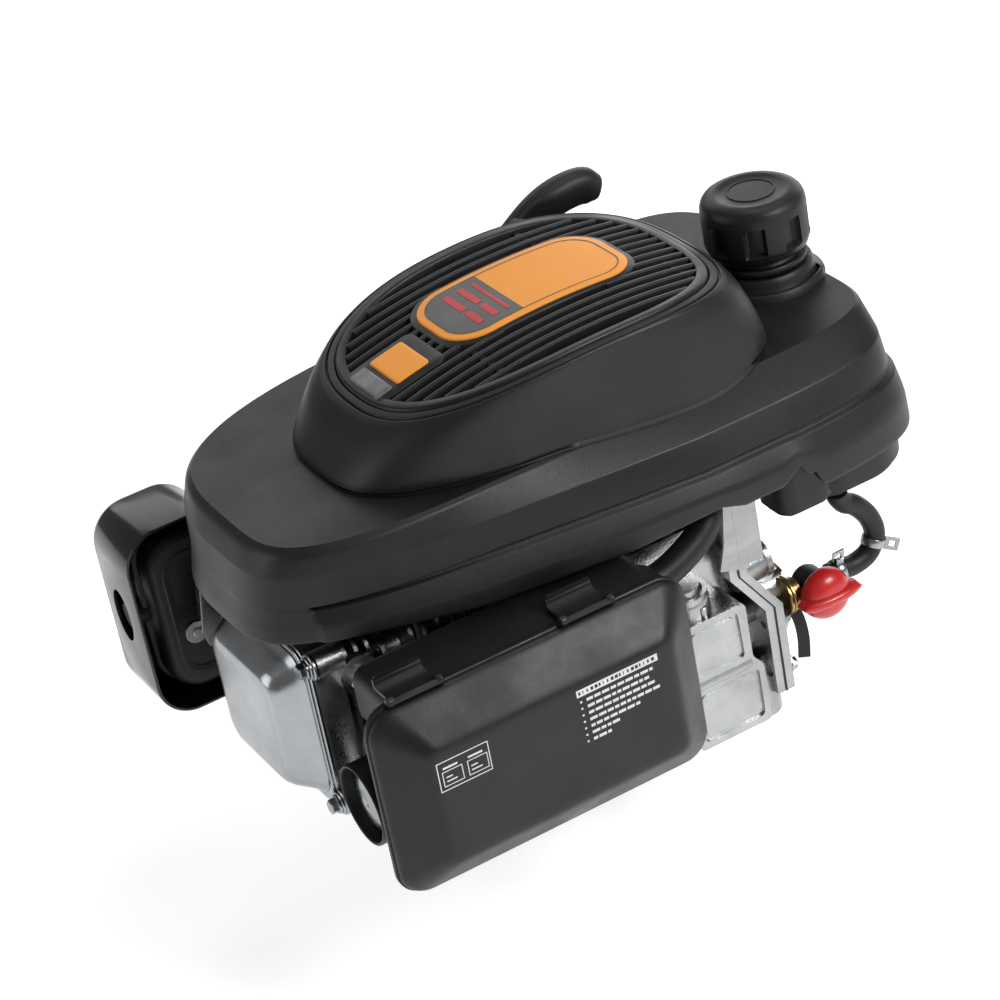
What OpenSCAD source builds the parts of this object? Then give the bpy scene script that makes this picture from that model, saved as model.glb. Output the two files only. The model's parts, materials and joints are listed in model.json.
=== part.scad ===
/* [Crankshaft] */
// Diameter of the output shaft
shaft_d = 25.4; // [20:0.1:25.4]
// Length of the output shaft below the mounting face
shaft_len = 50; // [46:1:90]
// Height of the cylinder axis above the mounting face
axis_z = 92; // [92:1:96]
// Piston stroke
stroke = 55; // [45:1:56]
// Cylinder bore
bore_d = 68; // [60:1:70]

/* [Mounting] */
// Diameter of the mounting bolt circle
bolt_circle = 203.2; // [195:0.1:210]
// Diameter of the mounting bolt holes
mount_hole_d = 9.5; // [8:0.1:11]

/* [Top cover] */
// Head end of the top cover
cover_x0 = -219; // [-222:1:-212]
// Tank end of the top cover
cover_x1 = 200; // [196:1:206]
// Height of the top cover's lower edge
skirt_z = 172; // [170:1:174]
// How much lower the skirt hangs at the tank end
skirt_drop = 17; // [14:1:18]
// Height of the top cover's flat deck
deck_z = 226; // [224:1:228]
// Half length of the starter dome at its foot
dome_rx = 135; // [133:1:136]
// Half width of the starter dome at its foot
dome_ry = 88; // [86:1:90]
// Height of the crowned grille's highest point
dome_z = 281.5; // [279:0.5:284]
// Wall of the moulded covers
wall = 3; // [2.5:0.1:3.5]

/* [Air cleaner] */
// Width of the air cleaner at its rim
filter_w = 200; // [194:1:202]
// Height of the air cleaner at its rim
filter_h = 120; // [114:1:124]
// Middle of the air cleaner along the engine
filter_x = -102; // [-104:1:-100]
// Height of the air cleaner's middle
filter_z = 101; // [99:1:104]
// Distance of the cover's flat face from the shaft axis
filter_face = 160; // [156:1:164]

/* [Fuel] */
// Diameter of the filler cap
cap_d = 64; // [58:1:68]
// Outer diameter of the fuel hose
hose_d = 13; // [11:0.5:13.5]
// Middle of the filler cap along the engine
cap_x = 162; // [160:1:164]
// Middle of the filler cap across the engine
cap_y = 6; // [0:1:10]

/* [Muffler] */
// Width of the muffler guard along the engine
guard_w = 66; // [60:1:68]
// Height of the muffler guard
guard_h = 126; // [116:1:130]

/* [Hidden] */

$fn = 64;
EPS = 0.01;
FIT = 0.05;                 // radial clearance of a running fit
GAP = 0.4;                  // clearance between neighbouring moulded parts

// Crank train
shaft_r = shaft_d/2;
journal_r = shaft_r + 1.2;
throw_r = stroke/2;
rod_len = 84;
pin_x = -throw_r - rod_len;         // piston pin with the piston at the top of its stroke
piston_x = pin_x - 22;
bearing_r = 17;
gear_module = 1.6;
crank_teeth = 20;
cam_teeth = 40;
gear_z = 40;
gear_h = 10;
centre_d = gear_module*(crank_teeth + cam_teeth)/2;
cam_y = 38;
cam_x = sqrt(centre_d*centre_d - cam_y*cam_y);
valve_gap = 14;                     // each valve lies this far above or below the cylinder axis
valve_y = 4;
rocker_y = (cam_y + valve_y)/2;
rocker_x = -199;

// Castings
case_x0 = -62;
case_y = 82;
sump_z = 14;
plate_z = 6;
gasket_t = 1;
case_top = 146;
barrel_end = -134;
head_end = -190;
seam = [[62, case_top], [62, 104], [82, 74], [82, sump_z + gasket_t]];
foot_r = 13;
foot_xy = bolt_circle/2*cos(45);
fin_t = 2.4;
fin_pitch = 8.5;

// Rocker cover, as [y, z]
rocker_mid = [4, 101];
rocker_w = 108;
rocker_h = 104;
lash = 3.2;                 // from the rocker's pivot plane to the stem and pushrod tips

// Intake
carb_x = -152;
carb_z = axis_z - valve_gap;
cup_y = -84;
cup_z = 71;
cup_r = 24.5;

// Air cleaner
filter_rim = filter_face - 20;
filter_split = filter_rim - 8;
filter_back = 88;
filter_r = 16;
tray_cut = 26;              // the tray stops short of the rim on the head's side
latch_w = 30;
latch_x = [-170, -62];

// Exhaust
guard_x = -235 + guard_w/2;
guard_z = 182 - guard_h/2;
guard_y0 = 93;
guard_y1 = 146;
pipe_from = [-158, 58, 106];
pipe_to = [-192, 104, 116];

// Tank, tap and starter
tank_x = 142;
tank_w = 87;
tank_l = 200;
tank_z = 137;               // underside of the tank's full outline
spigot_x = 138;
neck_r = 23;
neck_z = 207;               // the neck starts inside the tank's roof
tap = [112, -82, 74];
crown_r = 450;              // radius of the grille's crown, seen from the side
crown_x = 20;               // the crown's highest line
dome_x = -7;                // middle of the dome's foot along the engine
dome_y = 4;                 // middle of the dome across the engine
rim_w = 7;                  // width of the dome's edge around the grille
rope_x = 60;
rope_z = 262;
rope_end = 104;

// Top cover rings: height, head end, tank end, near half width and its taper, far half width,
// roundness of the head end's far corner
COVER_OUT = [
    [skirt_z, cover_x0, cover_x1, 110.5, 0.13, 134, 2.65, skirt_drop],
    [skirt_z + 9, cover_x0 + 2, cover_x1 - 1, 109.5, 0.13, 134, 2.65, skirt_drop*0.4],
    [skirt_z + 20.5, cover_x0 + 4, cover_x1 - 5, 105.5, 0.13, 133.5, 2.8, 0],
    [deck_z - 16, cover_x0 + 8, cover_x1 - 7, 98.5, 0.1, 132.5, 3, 0],
    [deck_z - 1.5, cover_x0 + 15, cover_x1 - 6, 83, 0.01, 130, 3.3, 0],
    [deck_z, cover_x0 + 18, cover_x1 - 8, 80, 0.01, 127, 3.3, 0]];

// ---------- shared shapes ----------

module rounded(w, h, r) {
    square([w - 2*r, h], center = true);
    square([w, h - 2*r], center = true);
    for (i = [-1, 1], j = [-1, 1]) translate([i*(w/2 - r), j*(h/2 - r)]) circle(r);
}

// Runs its 2D children, drawn as [y, z], along +X from x0
module along_x(x0, len) {
    translate([x0, 0, 0]) rotate([90, 0, 90]) linear_extrude(len) children();
}

// Runs its 2D children, drawn as [x, z], along +Y from y0
module along_y(y0, len) {
    translate([0, y0 + len, 0]) rotate([90, 0, 0]) linear_extrude(len) children();
}

module rod_x(x0, len, y, z, r) {
    translate([x0, y, z]) rotate([0, 90, 0]) cylinder(h = len, r = r);
}

module rod_y(y0, len, x, z, r) {
    translate([x, y0, z]) rotate([-90, 0, 0]) cylinder(h = len, r = r);
}

module rod_z(z0, len, x, y, r) {
    translate([x, y, z0]) cylinder(h = len, r = r);
}

module rod_between(a, b, r) {
    d = b - a;
    translate(a) rotate([0, acos(d[2]/norm(d)), atan2(d[1], d[0])]) cylinder(h = norm(d), r = r);
}

module block(x, y, z) {
    translate([x[0], y[0], z[0]]) cube([x[1] - x[0], y[1] - y[0], z[1] - z[0]]);
}

// A hexagon flange bolt whose head stands on z = 0 and whose shank points down
module flange_bolt(r, len) {
    cylinder(h = 1.6, r = 2.1*r);
    translate([0, 0, 1.6]) cylinder(h = 1.5*r, r = 1.7*r, $fn = 6);
    translate([0, 0, -len]) cylinder(h = len, r = r);
}

// Closed surface through rings of equal point counts, ended by flat caps
module loft(rings) {
    n = len(rings[0]);
    m = len(rings);
    pts = [for (ring = rings) each ring];
    walls = [for (k = [0:m - 2], i = [0:n - 1]) let (j = (i + 1)%n)
        each [[k*n + i, (k + 1)*n + i, (k + 1)*n + j], [k*n + i, (k + 1)*n + j, k*n + j]]];
    polyhedron(pts, concat([[for (i = [0:n - 1]) i]], walls,
        [[for (i = [n - 1:-1:0]) (m - 1)*n + i]]));
}

// The same, with the last ring joined back to the first
module loft_loop(rings) {
    n = len(rings[0]);
    m = len(rings);
    pts = [for (ring = rings) each ring];
    polyhedron(pts, [for (k = [0:m - 1], i = [0:n - 1]) let (j = (i + 1)%n, l = (k + 1)%m)
        each [[k*n + i, l*n + i, l*n + j], [k*n + i, l*n + j, k*n + j]]]);
}

function sgn_pow(v, p) = sign(v)*pow(abs(v), p);

// A rounded outline between x0 and x1 whose half width is half_w + taper*x
function outline(z, x0, x1, half_w, taper, n, count = 72) = [for (i = [0:count - 1])
    let (a = 360*i/count, x = (x0 + x1)/2 + (x1 - x0)/2*sgn_pow(cos(a), 2/n))
    [x, (half_w + taper*x)*sgn_pow(sin(a), 2/n), z]];

function shifted(ring, dy) = [for (p = ring) [p[0], p[1] + dy, p[2]]];

// The cover's outline: the side towards the air cleaner is narrower than the far side
function lowering(x, s) =
    let (head = s < 0 ? 0.35*min(max((x + 160)/60, 0), 1) : 0)
    head + (1 - head)*min(max((x - 84)/10, 0), 1);
function cover_outline(z, x0, x1, near, taper, far, n_far, drop) = [for (i = [0:95])
    let (a = 360*i/96, c = cos(a), s = sin(a),
        n = s > 0 ? (c < 0 ? n_far : 6) : (c < 0 ? 4.2 : 5.6),
        x = (x0 + x1)/2 + (x1 - x0)/2*sgn_pow(c, 2/n))
    [x, (s > 0 ? far + 0.07*x : near + taper*min(x, 35))*sgn_pow(s, 2/n), z - drop*lowering(x, s)]];

function cover_ring(row, inset) = cover_outline(row[0] - inset*0.9, row[1] + inset, row[2] - inset,
    row[3] - inset, row[4], row[5] - inset, row[6], row[7]);

// A round tube along a list of points
function unit(v) = v/norm(v);
function heading(path, i) = unit(path[min(i + 1, len(path) - 1)] - path[max(i - 1, 0)]);
function side_of(t) = unit(cross(t, abs(t[2]) > 0.9 ? [1, 0, 0] : [0, 0, 1]));
module tube_along(path, r, sides = 12) {
    loft([for (i = [0:len(path) - 1])
        let (t = heading(path, i), u = side_of(t), v = cross(t, u))
        [for (k = [0:sides - 1]) path[i] + r*cos(360*k/sides)*u + r*sin(360*k/sides)*v]]);
}

// A smooth curve through a list of points, with steps between each pair
function curve_at(p, i, s) =
    let (n = len(p) - 1, a = p[max(i - 1, 0)], b = p[i], c = p[min(i + 1, n)], d = p[min(i + 2, n)])
    0.5*(2*b + (c - a)*s + (2*a - 5*b + 4*c - d)*s*s + (3*b - a - 3*c + d)*s*s*s);
function smooth(p, steps) = concat([for (i = [0:len(p) - 2], k = [0:steps - 1])
    curve_at(p, i, k/steps)], [p[len(p) - 1]]);

// An involute spur gear with its teeth on z = 0 to h
function involute(rb, t) = rb*[cos(t) + t*PI/180*sin(t), sin(t) - t*PI/180*cos(t)];
function turn(p, a) = [p[0]*cos(a) - p[1]*sin(a), p[0]*sin(a) + p[1]*cos(a)];
function flank_angle(rb, r) = sqrt(r*r/(rb*rb) - 1)*180/PI;
module gear(teeth, h, play) {
    rp = gear_module*teeth/2;
    rb = rp*cos(20);
    ra = rp + gear_module*0.95;
    rf = rp - gear_module*1.25;
    t_out = flank_angle(rb, ra);
    t_in = rf > rb ? flank_angle(rb, rf) : 0;
    tp = flank_angle(rb, rp);
    half = 90/teeth - play/rp*180/PI + tp - atan(tp*PI/180);
    flank = [for (k = [0:5]) turn(involute(rb, t_in + (t_out - t_in)*k/5), -half)];
    root = rf < rb ? [turn([rf, 0], -half)] : [];
    side = concat(root, flank);
    m = len(side);
    linear_extrude(h) polygon([for (k = [0:teeth - 1])
        each [for (p = concat(side, [for (i = [m - 1:-1:0]) [side[i][0], -side[i][1]]]))
            turn(p, 360*k/teeth)]]);
}

// ---------- castings ----------

// Fin plate around the cylinder, as [y, z]
module fin_outline(w, h) {
    translate([0, axis_z]) rounded(w, h, 14);
}

module crankcase() {
    color([0.72, 0.73, 0.74]) difference() {
        union() {
            // box around the crank, closed on top
            difference() {
                union() {
                    translate([0, 0, sump_z + gasket_t])
                        linear_extrude(case_top - sump_z - gasket_t)
                            translate([2, 0]) rounded(128, 2*case_y, 22);
                    block([30, 80], [-case_y + 12, case_y - 12], [sump_z + gasket_t, 70]);
                }
                translate([0, 0, -EPS]) linear_extrude(case_top - 8)
                    translate([3, 0]) rounded(116, 2*case_y - 12, 18);
                block([40, 90], [-case_y + 18, case_y - 18], [0, 66]);
                block([50, 90], [-case_y + 18, case_y - 18], [0, 126]);
            }
            // seam flange that meets the end cover
            along_y(-case_y - 6, 2*case_y + 12)
                polygon(concat(seam, [for (i = [3:-1:0]) seam[i] - [6, 0]]));
            // box with the raised panel beside the air cleaner
            translate([0, -case_y, 0]) along_y(-24, 28)
                translate([31, 59]) rounded(44, 84, 6);
            // round breather housing above the panel box
            rod_z(100, 14, 22, -case_y - 6, 16);
            rod_z(114, 4, 22, -case_y - 6, 12);
            // cylinder barrel with cooling fins
            rod_x(barrel_end, case_x0 - barrel_end + 2, 0, axis_z, bore_d/2 + 8);
            for (x = [barrel_end + 3:fin_pitch:case_x0 - 6])
                along_x(x, fin_t) fin_outline(108, 112);
            along_x(barrel_end, 5) fin_outline(100, 100);
            block([barrel_end, case_x0 + 2], [cam_y - 9, cam_y + 9], [axis_z - 24, axis_z + 24]);
            // upper bearing boss and the posts that carry the blower housing
            rod_z(case_top - EPS, 18, 0, 0, 28);
            for (s = [-1, 1]) rod_z(case_top - EPS, 8, -48, s*62, 9);
            for (s = [-1, 1]) rod_z(case_top - EPS, 8, 30, s*70, 8);
            // spigot of the crankcase breather
            block([44, 56], [-78, -72], [case_top - 2, case_top + 23]);
            // dipstick boss on the far side
            dipstick_axis() translate([0, 0, -14]) cylinder(h = 38, r = 12);
        }
        // everything beyond the seam belongs to the end cover
        along_y(-100, 200) polygon(concat(seam, [[140, sump_z], [140, case_top]]));
        sump_bolts(2.5, 14);
        // open inside of the seam flange
        block([54, 90], [-case_y + 18, case_y - 18], [sump_z, 126]);
        block([40, 90], [-case_y + 18, case_y - 18], [-1, 66]);
        block([-50, 56], [-case_y + 8, case_y - 8], [-1, case_top - 8]);
        rod_x(barrel_end - 1, 100, 0, axis_z, bore_d/2);
        rod_z(case_top - 20, 60, 0, 0, 20);
        for (s = [-1, 1]) rod_x(barrel_end - 1, 100, cam_y, axis_z + s*valve_gap, 5.2);
        dipstick_axis() translate([0, 0, -30]) cylinder(h = 60, r = 7.5);
        seam_bolts(2.7, 24);
    }
}

// Children drawn with the filler tube along Z, its mouth on z = 24
module dipstick_axis() {
    translate([8, case_y, 100]) rotate([-45, 0, 0]) children();
}

// Children placed at each bolt of the seam between crankcase and end cover
function seam_points() = [for (y = [-case_y - 1, case_y + 1]) each
    [[62, y, 126], [82, y, 62], [82, y, 28]]];
module seam_bolts(r, len) {
    for (p = seam_points()) rod_x(p[0] - len/2, len, p[1], p[2], r);
}

module end_cover() {
    color([0.7, 0.71, 0.72]) difference() {
        union() {
            along_y(-case_y - 6, 2*case_y + 12)
                polygon(concat(seam, [for (i = [3:-1:0]) seam[i] + [6, 0]]));
            // raised body of the cover
            intersection() {
                union() {
                    rod_y(-case_y + 10, 2*case_y - 20, 62, 66, 42);
                    block([68, 96], [-case_y + 10, case_y - 10], [sump_z + gasket_t, 66]);
                }
                block([60, 104], [-case_y, case_y], [sump_z + gasket_t, case_top]);
                along_y(-case_y + 10, 2*case_y - 20)
                    polygon(concat(seam, [[140, sump_z], [140, case_top]]));
            }
            intersection() {
                union() {
                    rod_x(60, 30, -case_y + 14, 96, 13);
                    rod_x(60, 36, -case_y + 10, 78, 10);
                }
                along_y(-case_y, 2*case_y)
                    polygon(concat(seam, [[140, sump_z], [140, case_top]]));
            }
            for (y = [-40, 0, 40]) block([84, 100], [y - 3, y + 3], [26, 84]);
        }
        intersection() {
            rod_y(-case_y + 18, 2*case_y - 36, 62, 66, 34);
            block([60, 104], [-case_y, case_y], [sump_z - 1, case_top]);
        }
        block([60, 90], [-case_y + 18, case_y - 18], [sump_z - 1, 66]);
        seam_bolts(2.7, 60);
        rod_x(88, 20, -case_y + 10, 78, 5);
    }
}

module sump() {
    color([0.66, 0.67, 0.68]) difference() {
        union() {
            translate([0, 0, plate_z]) linear_extrude(sump_z - plate_z)
                translate([11, 0]) rounded(148, 2*case_y + 4, 22);
            rod_z(2, 32, 0, 0, 26);
            // feet at the four corners of the bolt circle
            for (i = [-1, 1], j = [-1, 1]) {
                rod_z(0, sump_z, i*foot_xy, j*foot_xy, foot_r);
                translate([0, 0, plate_z]) linear_extrude(sump_z - plate_z)
                    polygon([[i*foot_xy, j*(foot_xy - 12)], [i*(foot_xy - 12), j*foot_xy],
                        [i*40, j*50], [i*50, j*40]]);
            }
            // stiffening ribs from the bearing boss
            rod_z(sump_z - 4, 16, cam_x, cam_y, 11);
            for (a = [0:45:315]) rotate([0, 0, a]) block([20, 50], [-2, 2], [sump_z - 2, sump_z + 8]);
        }
        rod_z(-1, 60, 0, 0, bearing_r);
        rod_z(sump_z + 2, 20, cam_x, cam_y, 7 + FIT);
        for (i = [-1, 1], j = [-1, 1]) rod_z(-1, 60, i*foot_xy, j*foot_xy, mount_hole_d/2);
        sump_bolts(2.5, 30);
    }
}

function sump_points() = [for (x = [-30, 10, 40]) each [[x, case_y - 3], [x, -case_y + 3]]];
module sump_bolts(r, len) {
    for (p = sump_points()) rod_z(plate_z - EPS, len, p[0], p[1], r);
}

// Paper gaskets and the oil seal
module gaskets() {
    color([0.25, 0.27, 0.26]) {
        // between crankcase and sump
        translate([0, 0, sump_z]) linear_extrude(gasket_t) difference() {
            translate([11, 0]) rounded(146, 2*case_y - 1, 21);
            translate([12, 0]) rounded(128, 2*case_y - 18, 16);
            for (p = sump_points()) translate(p) circle(2.6);
        }
        // between barrel and head
        along_x(barrel_end - gasket_t, gasket_t) difference() {
            fin_outline(98, 98);
            translate([0, axis_z]) circle(bore_d/2);
            for (s = [-1, 1]) translate([cam_y, axis_z + s*valve_gap]) circle(5.5);
        }
        // between head and rocker cover
        along_x(head_end - gasket_t, gasket_t) difference() {
            rocker_outline(0);
            rocker_outline(-9);
        }
    }
    // oil seal of the output shaft
    color([0.15, 0.12, 0.1]) rotate_extrude() polygon([[journal_r + FIT, 2], [bearing_r, 2],
        [bearing_r, 10], [journal_r + FIT, 10]]);
}

// Outline of the rocker cover's flange, as [y, z]
module rocker_outline(grow) {
    translate(rocker_mid) rounded(rocker_w + 2*grow, rocker_h + 2*grow, max(14 + grow, 8));
}
function rocker_points() = [for (i = [-1, 1], j = [-1, 1])
    rocker_mid + [i*(rocker_w/2 + 1), j*(rocker_h/2 - 6)]];

module cylinder_head() {
    x_in = barrel_end - gasket_t;
    color([0.74, 0.75, 0.76]) difference() {
        union() {
            along_x(x_in - 12, 12) fin_outline(98, 98);
            for (x = [x_in - 20:-7:head_end + 20]) along_x(x - fin_t, fin_t) fin_outline(104, 120);
            along_x(head_end + 12, x_in - head_end - 14) fin_outline(70, 84);
            block([head_end + 4, x_in - 4], [cam_y - 12, cam_y + 12], [axis_z - 24, axis_z + 24]);
            // rocker chamber with four ears
            along_x(head_end, 16) {
                rocker_outline(0);
                for (p = rocker_points()) translate(p) circle(8);
            }
            // exhaust and intake stubs
            rod_y(30, 32, -160, axis_z + valve_gap, 17);
            rod_y(-54, 30, -152, axis_z - valve_gap, 16);
            // spark plug boss
            rod_y(-56, 30, -166, 132, 12);
        }
        along_x(head_end - 1, 14) rocker_outline(-9);
        rod_x(x_in - 8, 9, 0, axis_z, bore_d/2 - 4);
        for (s = [-1, 1]) {
            rod_x(head_end - 1, 60, cam_y, axis_z + s*valve_gap, 5.2);
            rod_x(head_end - 1, 60, valve_y, axis_z + s*valve_gap, 3);
            rod_x(x_in - 22, 20, valve_y, axis_z + s*valve_gap, 11.5);
            rod_x(head_end + 4, 14, valve_y, axis_z + s*valve_gap, 10.5);
        }
        rod_y(valve_y, 70, -154, axis_z + valve_gap, 10);
        rod_y(-70, 70 + valve_y, -152, axis_z - valve_gap, 10);
        rod_y(-60, 40, -166, 132, 5);
        for (p = rocker_points()) rod_x(head_end - 1, 14, p[0], p[1], 2.6);
    }
}

module rocker_cover() {
    color([0.8, 0.81, 0.82]) difference() {
        union() {
            along_x(head_end - gasket_t - 2, 2) {
                rocker_outline(0);
                for (p = rocker_points()) translate(p) circle(8);
            }
            hull() {
                along_x(head_end - gasket_t - 3, 1) rocker_outline(-7, $fn = 32);
                along_x(-210, 1) rocker_outline(-13, $fn = 32);
                along_x(-214, 1) rocker_outline(-18, $fn = 32);
            }
        }
        hull() {
            along_x(head_end, 1) rocker_outline(-9, $fn = 32);
            along_x(-208, 1) rocker_outline(-15, $fn = 32);
            along_x(-212, 1) rocker_outline(-20, $fn = 32);
        }
        for (p = rocker_points()) rod_x(head_end - 8, 14, p[0], p[1], 3.3);
    }
}

// Hexagon flange bolts of the seam, the sump and the rocker cover
module flange_bolts() {
    color([0.78, 0.79, 0.8]) {
        for (p = seam_points()) translate([p[0] + 6, p[1], p[2]]) rotate([0, 90, 0])
            flange_bolt(2.6, 12);
        for (p = sump_points()) translate([p[0], p[1], plate_z]) rotate([180, 0, 0])
            flange_bolt(2.4, 10);
        for (p = rocker_points()) translate([head_end - gasket_t - 2, p[0], p[1]])
            rotate([0, -90, 0]) flange_bolt(2.5, 12);
    }
}

module main_bearings() {
    color([0.75, 0.72, 0.6]) {
        rotate_extrude() polygon([[journal_r + FIT, 12], [bearing_r, 12], [bearing_r, 34],
            [journal_r + FIT, 34]]);
        rotate_extrude() polygon([[12.5 + FIT, case_top - 8], [20, case_top - 8],
            [20, case_top + 16], [12.5 + FIT, case_top + 16]]);
    }
}

// ---------- crank train ----------

module web_outline() {
    translate([-throw_r, 0]) circle(18);
    translate([-throw_r, -16]) square([throw_r + 8, 32]);
    circle(29);
}

module crank_throw() {
    color([0.5, 0.5, 0.52]) {
        for (z = [axis_z - 26, axis_z + 14]) translate([0, 0, z]) linear_extrude(12) web_outline();
        rod_z(axis_z - 14, 28, -throw_r, 0, 15);
    }
}

module connecting_rod() {
    color([0.68, 0.69, 0.7]) difference() {
        union() {
            rod_z(axis_z - 11, 22, -throw_r, 0, 21);
            rod_z(axis_z - 11, 22, pin_x, 0, 12);
            block([pin_x, -throw_r], [-7, 7], [axis_z - 6, axis_z + 6]);
        }
        rod_z(axis_z - 12, 24, -throw_r, 0, 15 + FIT);
        rod_z(axis_z - 12, 24, pin_x, 0, 8 + FIT);
    }
}

module piston() {
    color([0.78, 0.79, 0.8]) {
        difference() {
            rod_x(piston_x, 46, 0, axis_z, bore_d/2 - FIT);
            rod_x(piston_x + 7, 40, 0, axis_z, bore_d/2 - 5);
            for (x = [4, 9, 14]) translate([piston_x + x, 0, axis_z]) rotate([0, 90, 0])
                rotate_extrude() translate([bore_d/2 - 2.5, 0]) square([4, 1.5]);
        }
        rod_z(axis_z - bore_d/2 + 4.5, bore_d - 9, pin_x, 0, 8);
    }
}

module crankshaft() {
    color([0.62, 0.63, 0.65]) {
        difference() {
            union() {
                translate([0, 0, -shaft_len]) cylinder(h = 1, r1 = shaft_r - 1, r2 = shaft_r);
                rod_z(-shaft_len + 1, shaft_len - 2, 0, 0, shaft_r);
                rod_z(-1, axis_z - 27, 0, 0, journal_r);
                translate([0, 0, gear_z]) gear(crank_teeth, gear_h, 0.08);
                rod_z(gear_z + gear_h, 6, 0, 0, 17);
            }
            block([shaft_r - 3, shaft_r + 3], [-3.175, 3.175], [-shaft_len - 1, -18]);
            rod_z(-shaft_len - 1, 31, 0, 0, 4.25);
        }
        rod_z(axis_z + 28, 84, 0, 0, 12.5);
        translate([0, 0, axis_z + 112]) cylinder(h = 14, r1 = 12.5, r2 = 9);
        rod_z(axis_z + 126, 14, 0, 0, 7);
    }
}

module flywheel() {
    color([0.55, 0.56, 0.57]) difference() {
        rod_z(178, 22, 0, 0, 76);
        difference() {
            rod_z(177, 15, 0, 0, 66);
            rod_z(176, 17, 0, 0, 24);
        }
        rod_z(170, 40, 0, 0, 12.5);
    }
}

module cooling_fan() {
    color([0.12, 0.12, 0.13]) difference() {
        union() {
            rod_z(200, 3, 0, 0, 76);
            for (a = [0:20:340]) rotate([0, 0, a]) translate([0, 0, 203 - EPS]) linear_extrude(15)
                polygon([[44, 0], [60, 6], [75, 15], [75, 17.5], [59, 8.5], [43, 2.5]]);
        }
        rod_z(190, 20, 0, 0, 25);
    }
}

module starter_cup() {
    color([0.7, 0.71, 0.72]) {
        difference() {
            rod_z(204, 30, 0, 0, 34);
            rod_z(207, 30, 0, 0, 31);
            rod_z(200, 20, 0, 0, 12.5);
            for (a = [0:60:300]) rotate([0, 0, a]) block([20, 40], [-5, 5], [216, 226]);
        }
        translate([0, 0, axis_z + 126]) difference() {
            cylinder(h = 12, r = 13, $fn = 6);
            translate([0, 0, -1]) cylinder(h = 14, r = 7);
        }
    }
}

module cam_lobe(z, a) {
    translate([0, 0, z]) rotate([0, 0, a]) linear_extrude(10) {
        circle(11);
        translate([4, 0]) circle(9);
    }
}

module camshaft() {
    color([0.45, 0.45, 0.47]) translate([cam_x, cam_y, 0]) {
        rod_z(sump_z + 2.5, 118, 0, 0, 7);
        translate([0, 0, gear_z]) rotate([0, 0, mesh_angle()]) gear(cam_teeth, gear_h, 0.08);
        cam_lobe(axis_z - valve_gap - 5, 20);
        cam_lobe(axis_z + valve_gap - 5, -60);
    }
}
// Turn of the cam gear that puts its gap where the crank gear's tooth stands
function mesh_angle() =
    let (a = atan2(cam_y, cam_x), pitch = 360/crank_teeth, part = a/pitch - floor(a/pitch))
    a + 180 + 360/cam_teeth*(part + 0.5);

// ---------- valve train ----------

module rocker(z) {
    color([0.6, 0.6, 0.62]) difference() {
        union() {
            rod_z(z - 5, 10, rocker_x, rocker_y, 7);
            block([rocker_x - 3, rocker_x + 2], [valve_y - 3, cam_y + 3], [z - 4, z + 4]);
        }
        rod_z(z - 6, 12, rocker_x, rocker_y, 3 + FIT);
    }
}

module valve(z, head_r) {
    color([0.6, 0.6, 0.62]) {
        rod_x(rocker_x + lash, barrel_end - 11 - rocker_x - lash, valve_y, z, 2.9);
        rod_x(barrel_end - 11.5, 2.5, valve_y, z, head_r);
    }
}

module pushrod(z) {
    color([0.6, 0.6, 0.62]) {
        rod_x(rocker_x + lash, cam_x - 20 - rocker_x - lash, cam_y, z, 2.5);
        rod_x(cam_x - 24, 8, cam_y, z, 8);
    }
}

module intake_rocker() { rocker(axis_z - valve_gap); }
module exhaust_rocker() { rocker(axis_z + valve_gap); }
module intake_valve() { valve(axis_z - valve_gap, 11); }
module exhaust_valve() { valve(axis_z + valve_gap, 10); }
module intake_pushrod() { pushrod(axis_z - valve_gap); }
module exhaust_pushrod() { pushrod(axis_z + valve_gap); }

module valve_springs() {
    color([0.65, 0.65, 0.66])
    for (s = [-1, 1]) along_x(head_end + 5, 8) translate([valve_y, axis_z + s*valve_gap])
        difference() {
            circle(8);
            circle(5);
        }
}

// ---------- ignition ----------

module spark_plug() {
    color([0.85, 0.85, 0.84]) {
        rod_y(-62, 34, -166, 132, 4.9);
        translate([-166, -62, 132]) rotate([90, 0, 0]) cylinder(h = 7, r = 9, $fn = 6);
        rod_y(-84, 15, -166, 132, 5);
    }
}

module plug_boot() {
    color([0.1, 0.1, 0.1]) difference() {
        union() {
            rod_y(-86.5, 17, -166, 132, 9);
            rod_x(-166, 22, -78, 132, 6.5);
        }
        rod_y(-84.5, 30, -166, 132, 5.1);
    }
}

LEAD = [[-142.8, -78, 132], [-136, -77, 136], [-131, -71, 148], [-129, -61, 161], [-125, -48, 173],
    [-117, -36, 181], [-108, -30, 184], [-100.4, -30, 184]];
module ignition_lead() {
    color([0.1, 0.1, 0.1]) tube_along(smooth(LEAD, 3), 3.5, 10);
}

module ignition_coil() {
    color([0.14, 0.14, 0.15]) {
        block([-100, -82], [-44, -8], [174, 192]);
        block([-88, -78.5], [-36, -30], [178, 188]);
        block([-88, -78.5], [-22, -16], [178, 188]);
    }
}

// ---------- intake ----------

module carburettor() {
    color([0.66, 0.67, 0.69]) difference() {
        union() {
            rod_y(-85, 30, carb_x, carb_z, 14);
            along_y(-59, 5) translate([carb_x, carb_z]) rounded(44, 30, 8);
            along_y(-87, 5) translate([carb_x, carb_z]) rounded(44, 30, 8);
            rod_z(carb_z - 24, 24, carb_x, -71, 12);
            rod_z(carb_z + 8, 14, carb_x, -65, 6);
            rod_z(carb_z + 8, 14, carb_x, -79, 5);
        }
        rod_y(-90, 60, carb_x, carb_z, 10);
        rod_z(carb_z - 40, 80, carb_x, -65, 2.05);
        rod_z(carb_z - 40, 80, carb_x, -79, 2.05);
    }
}

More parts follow.
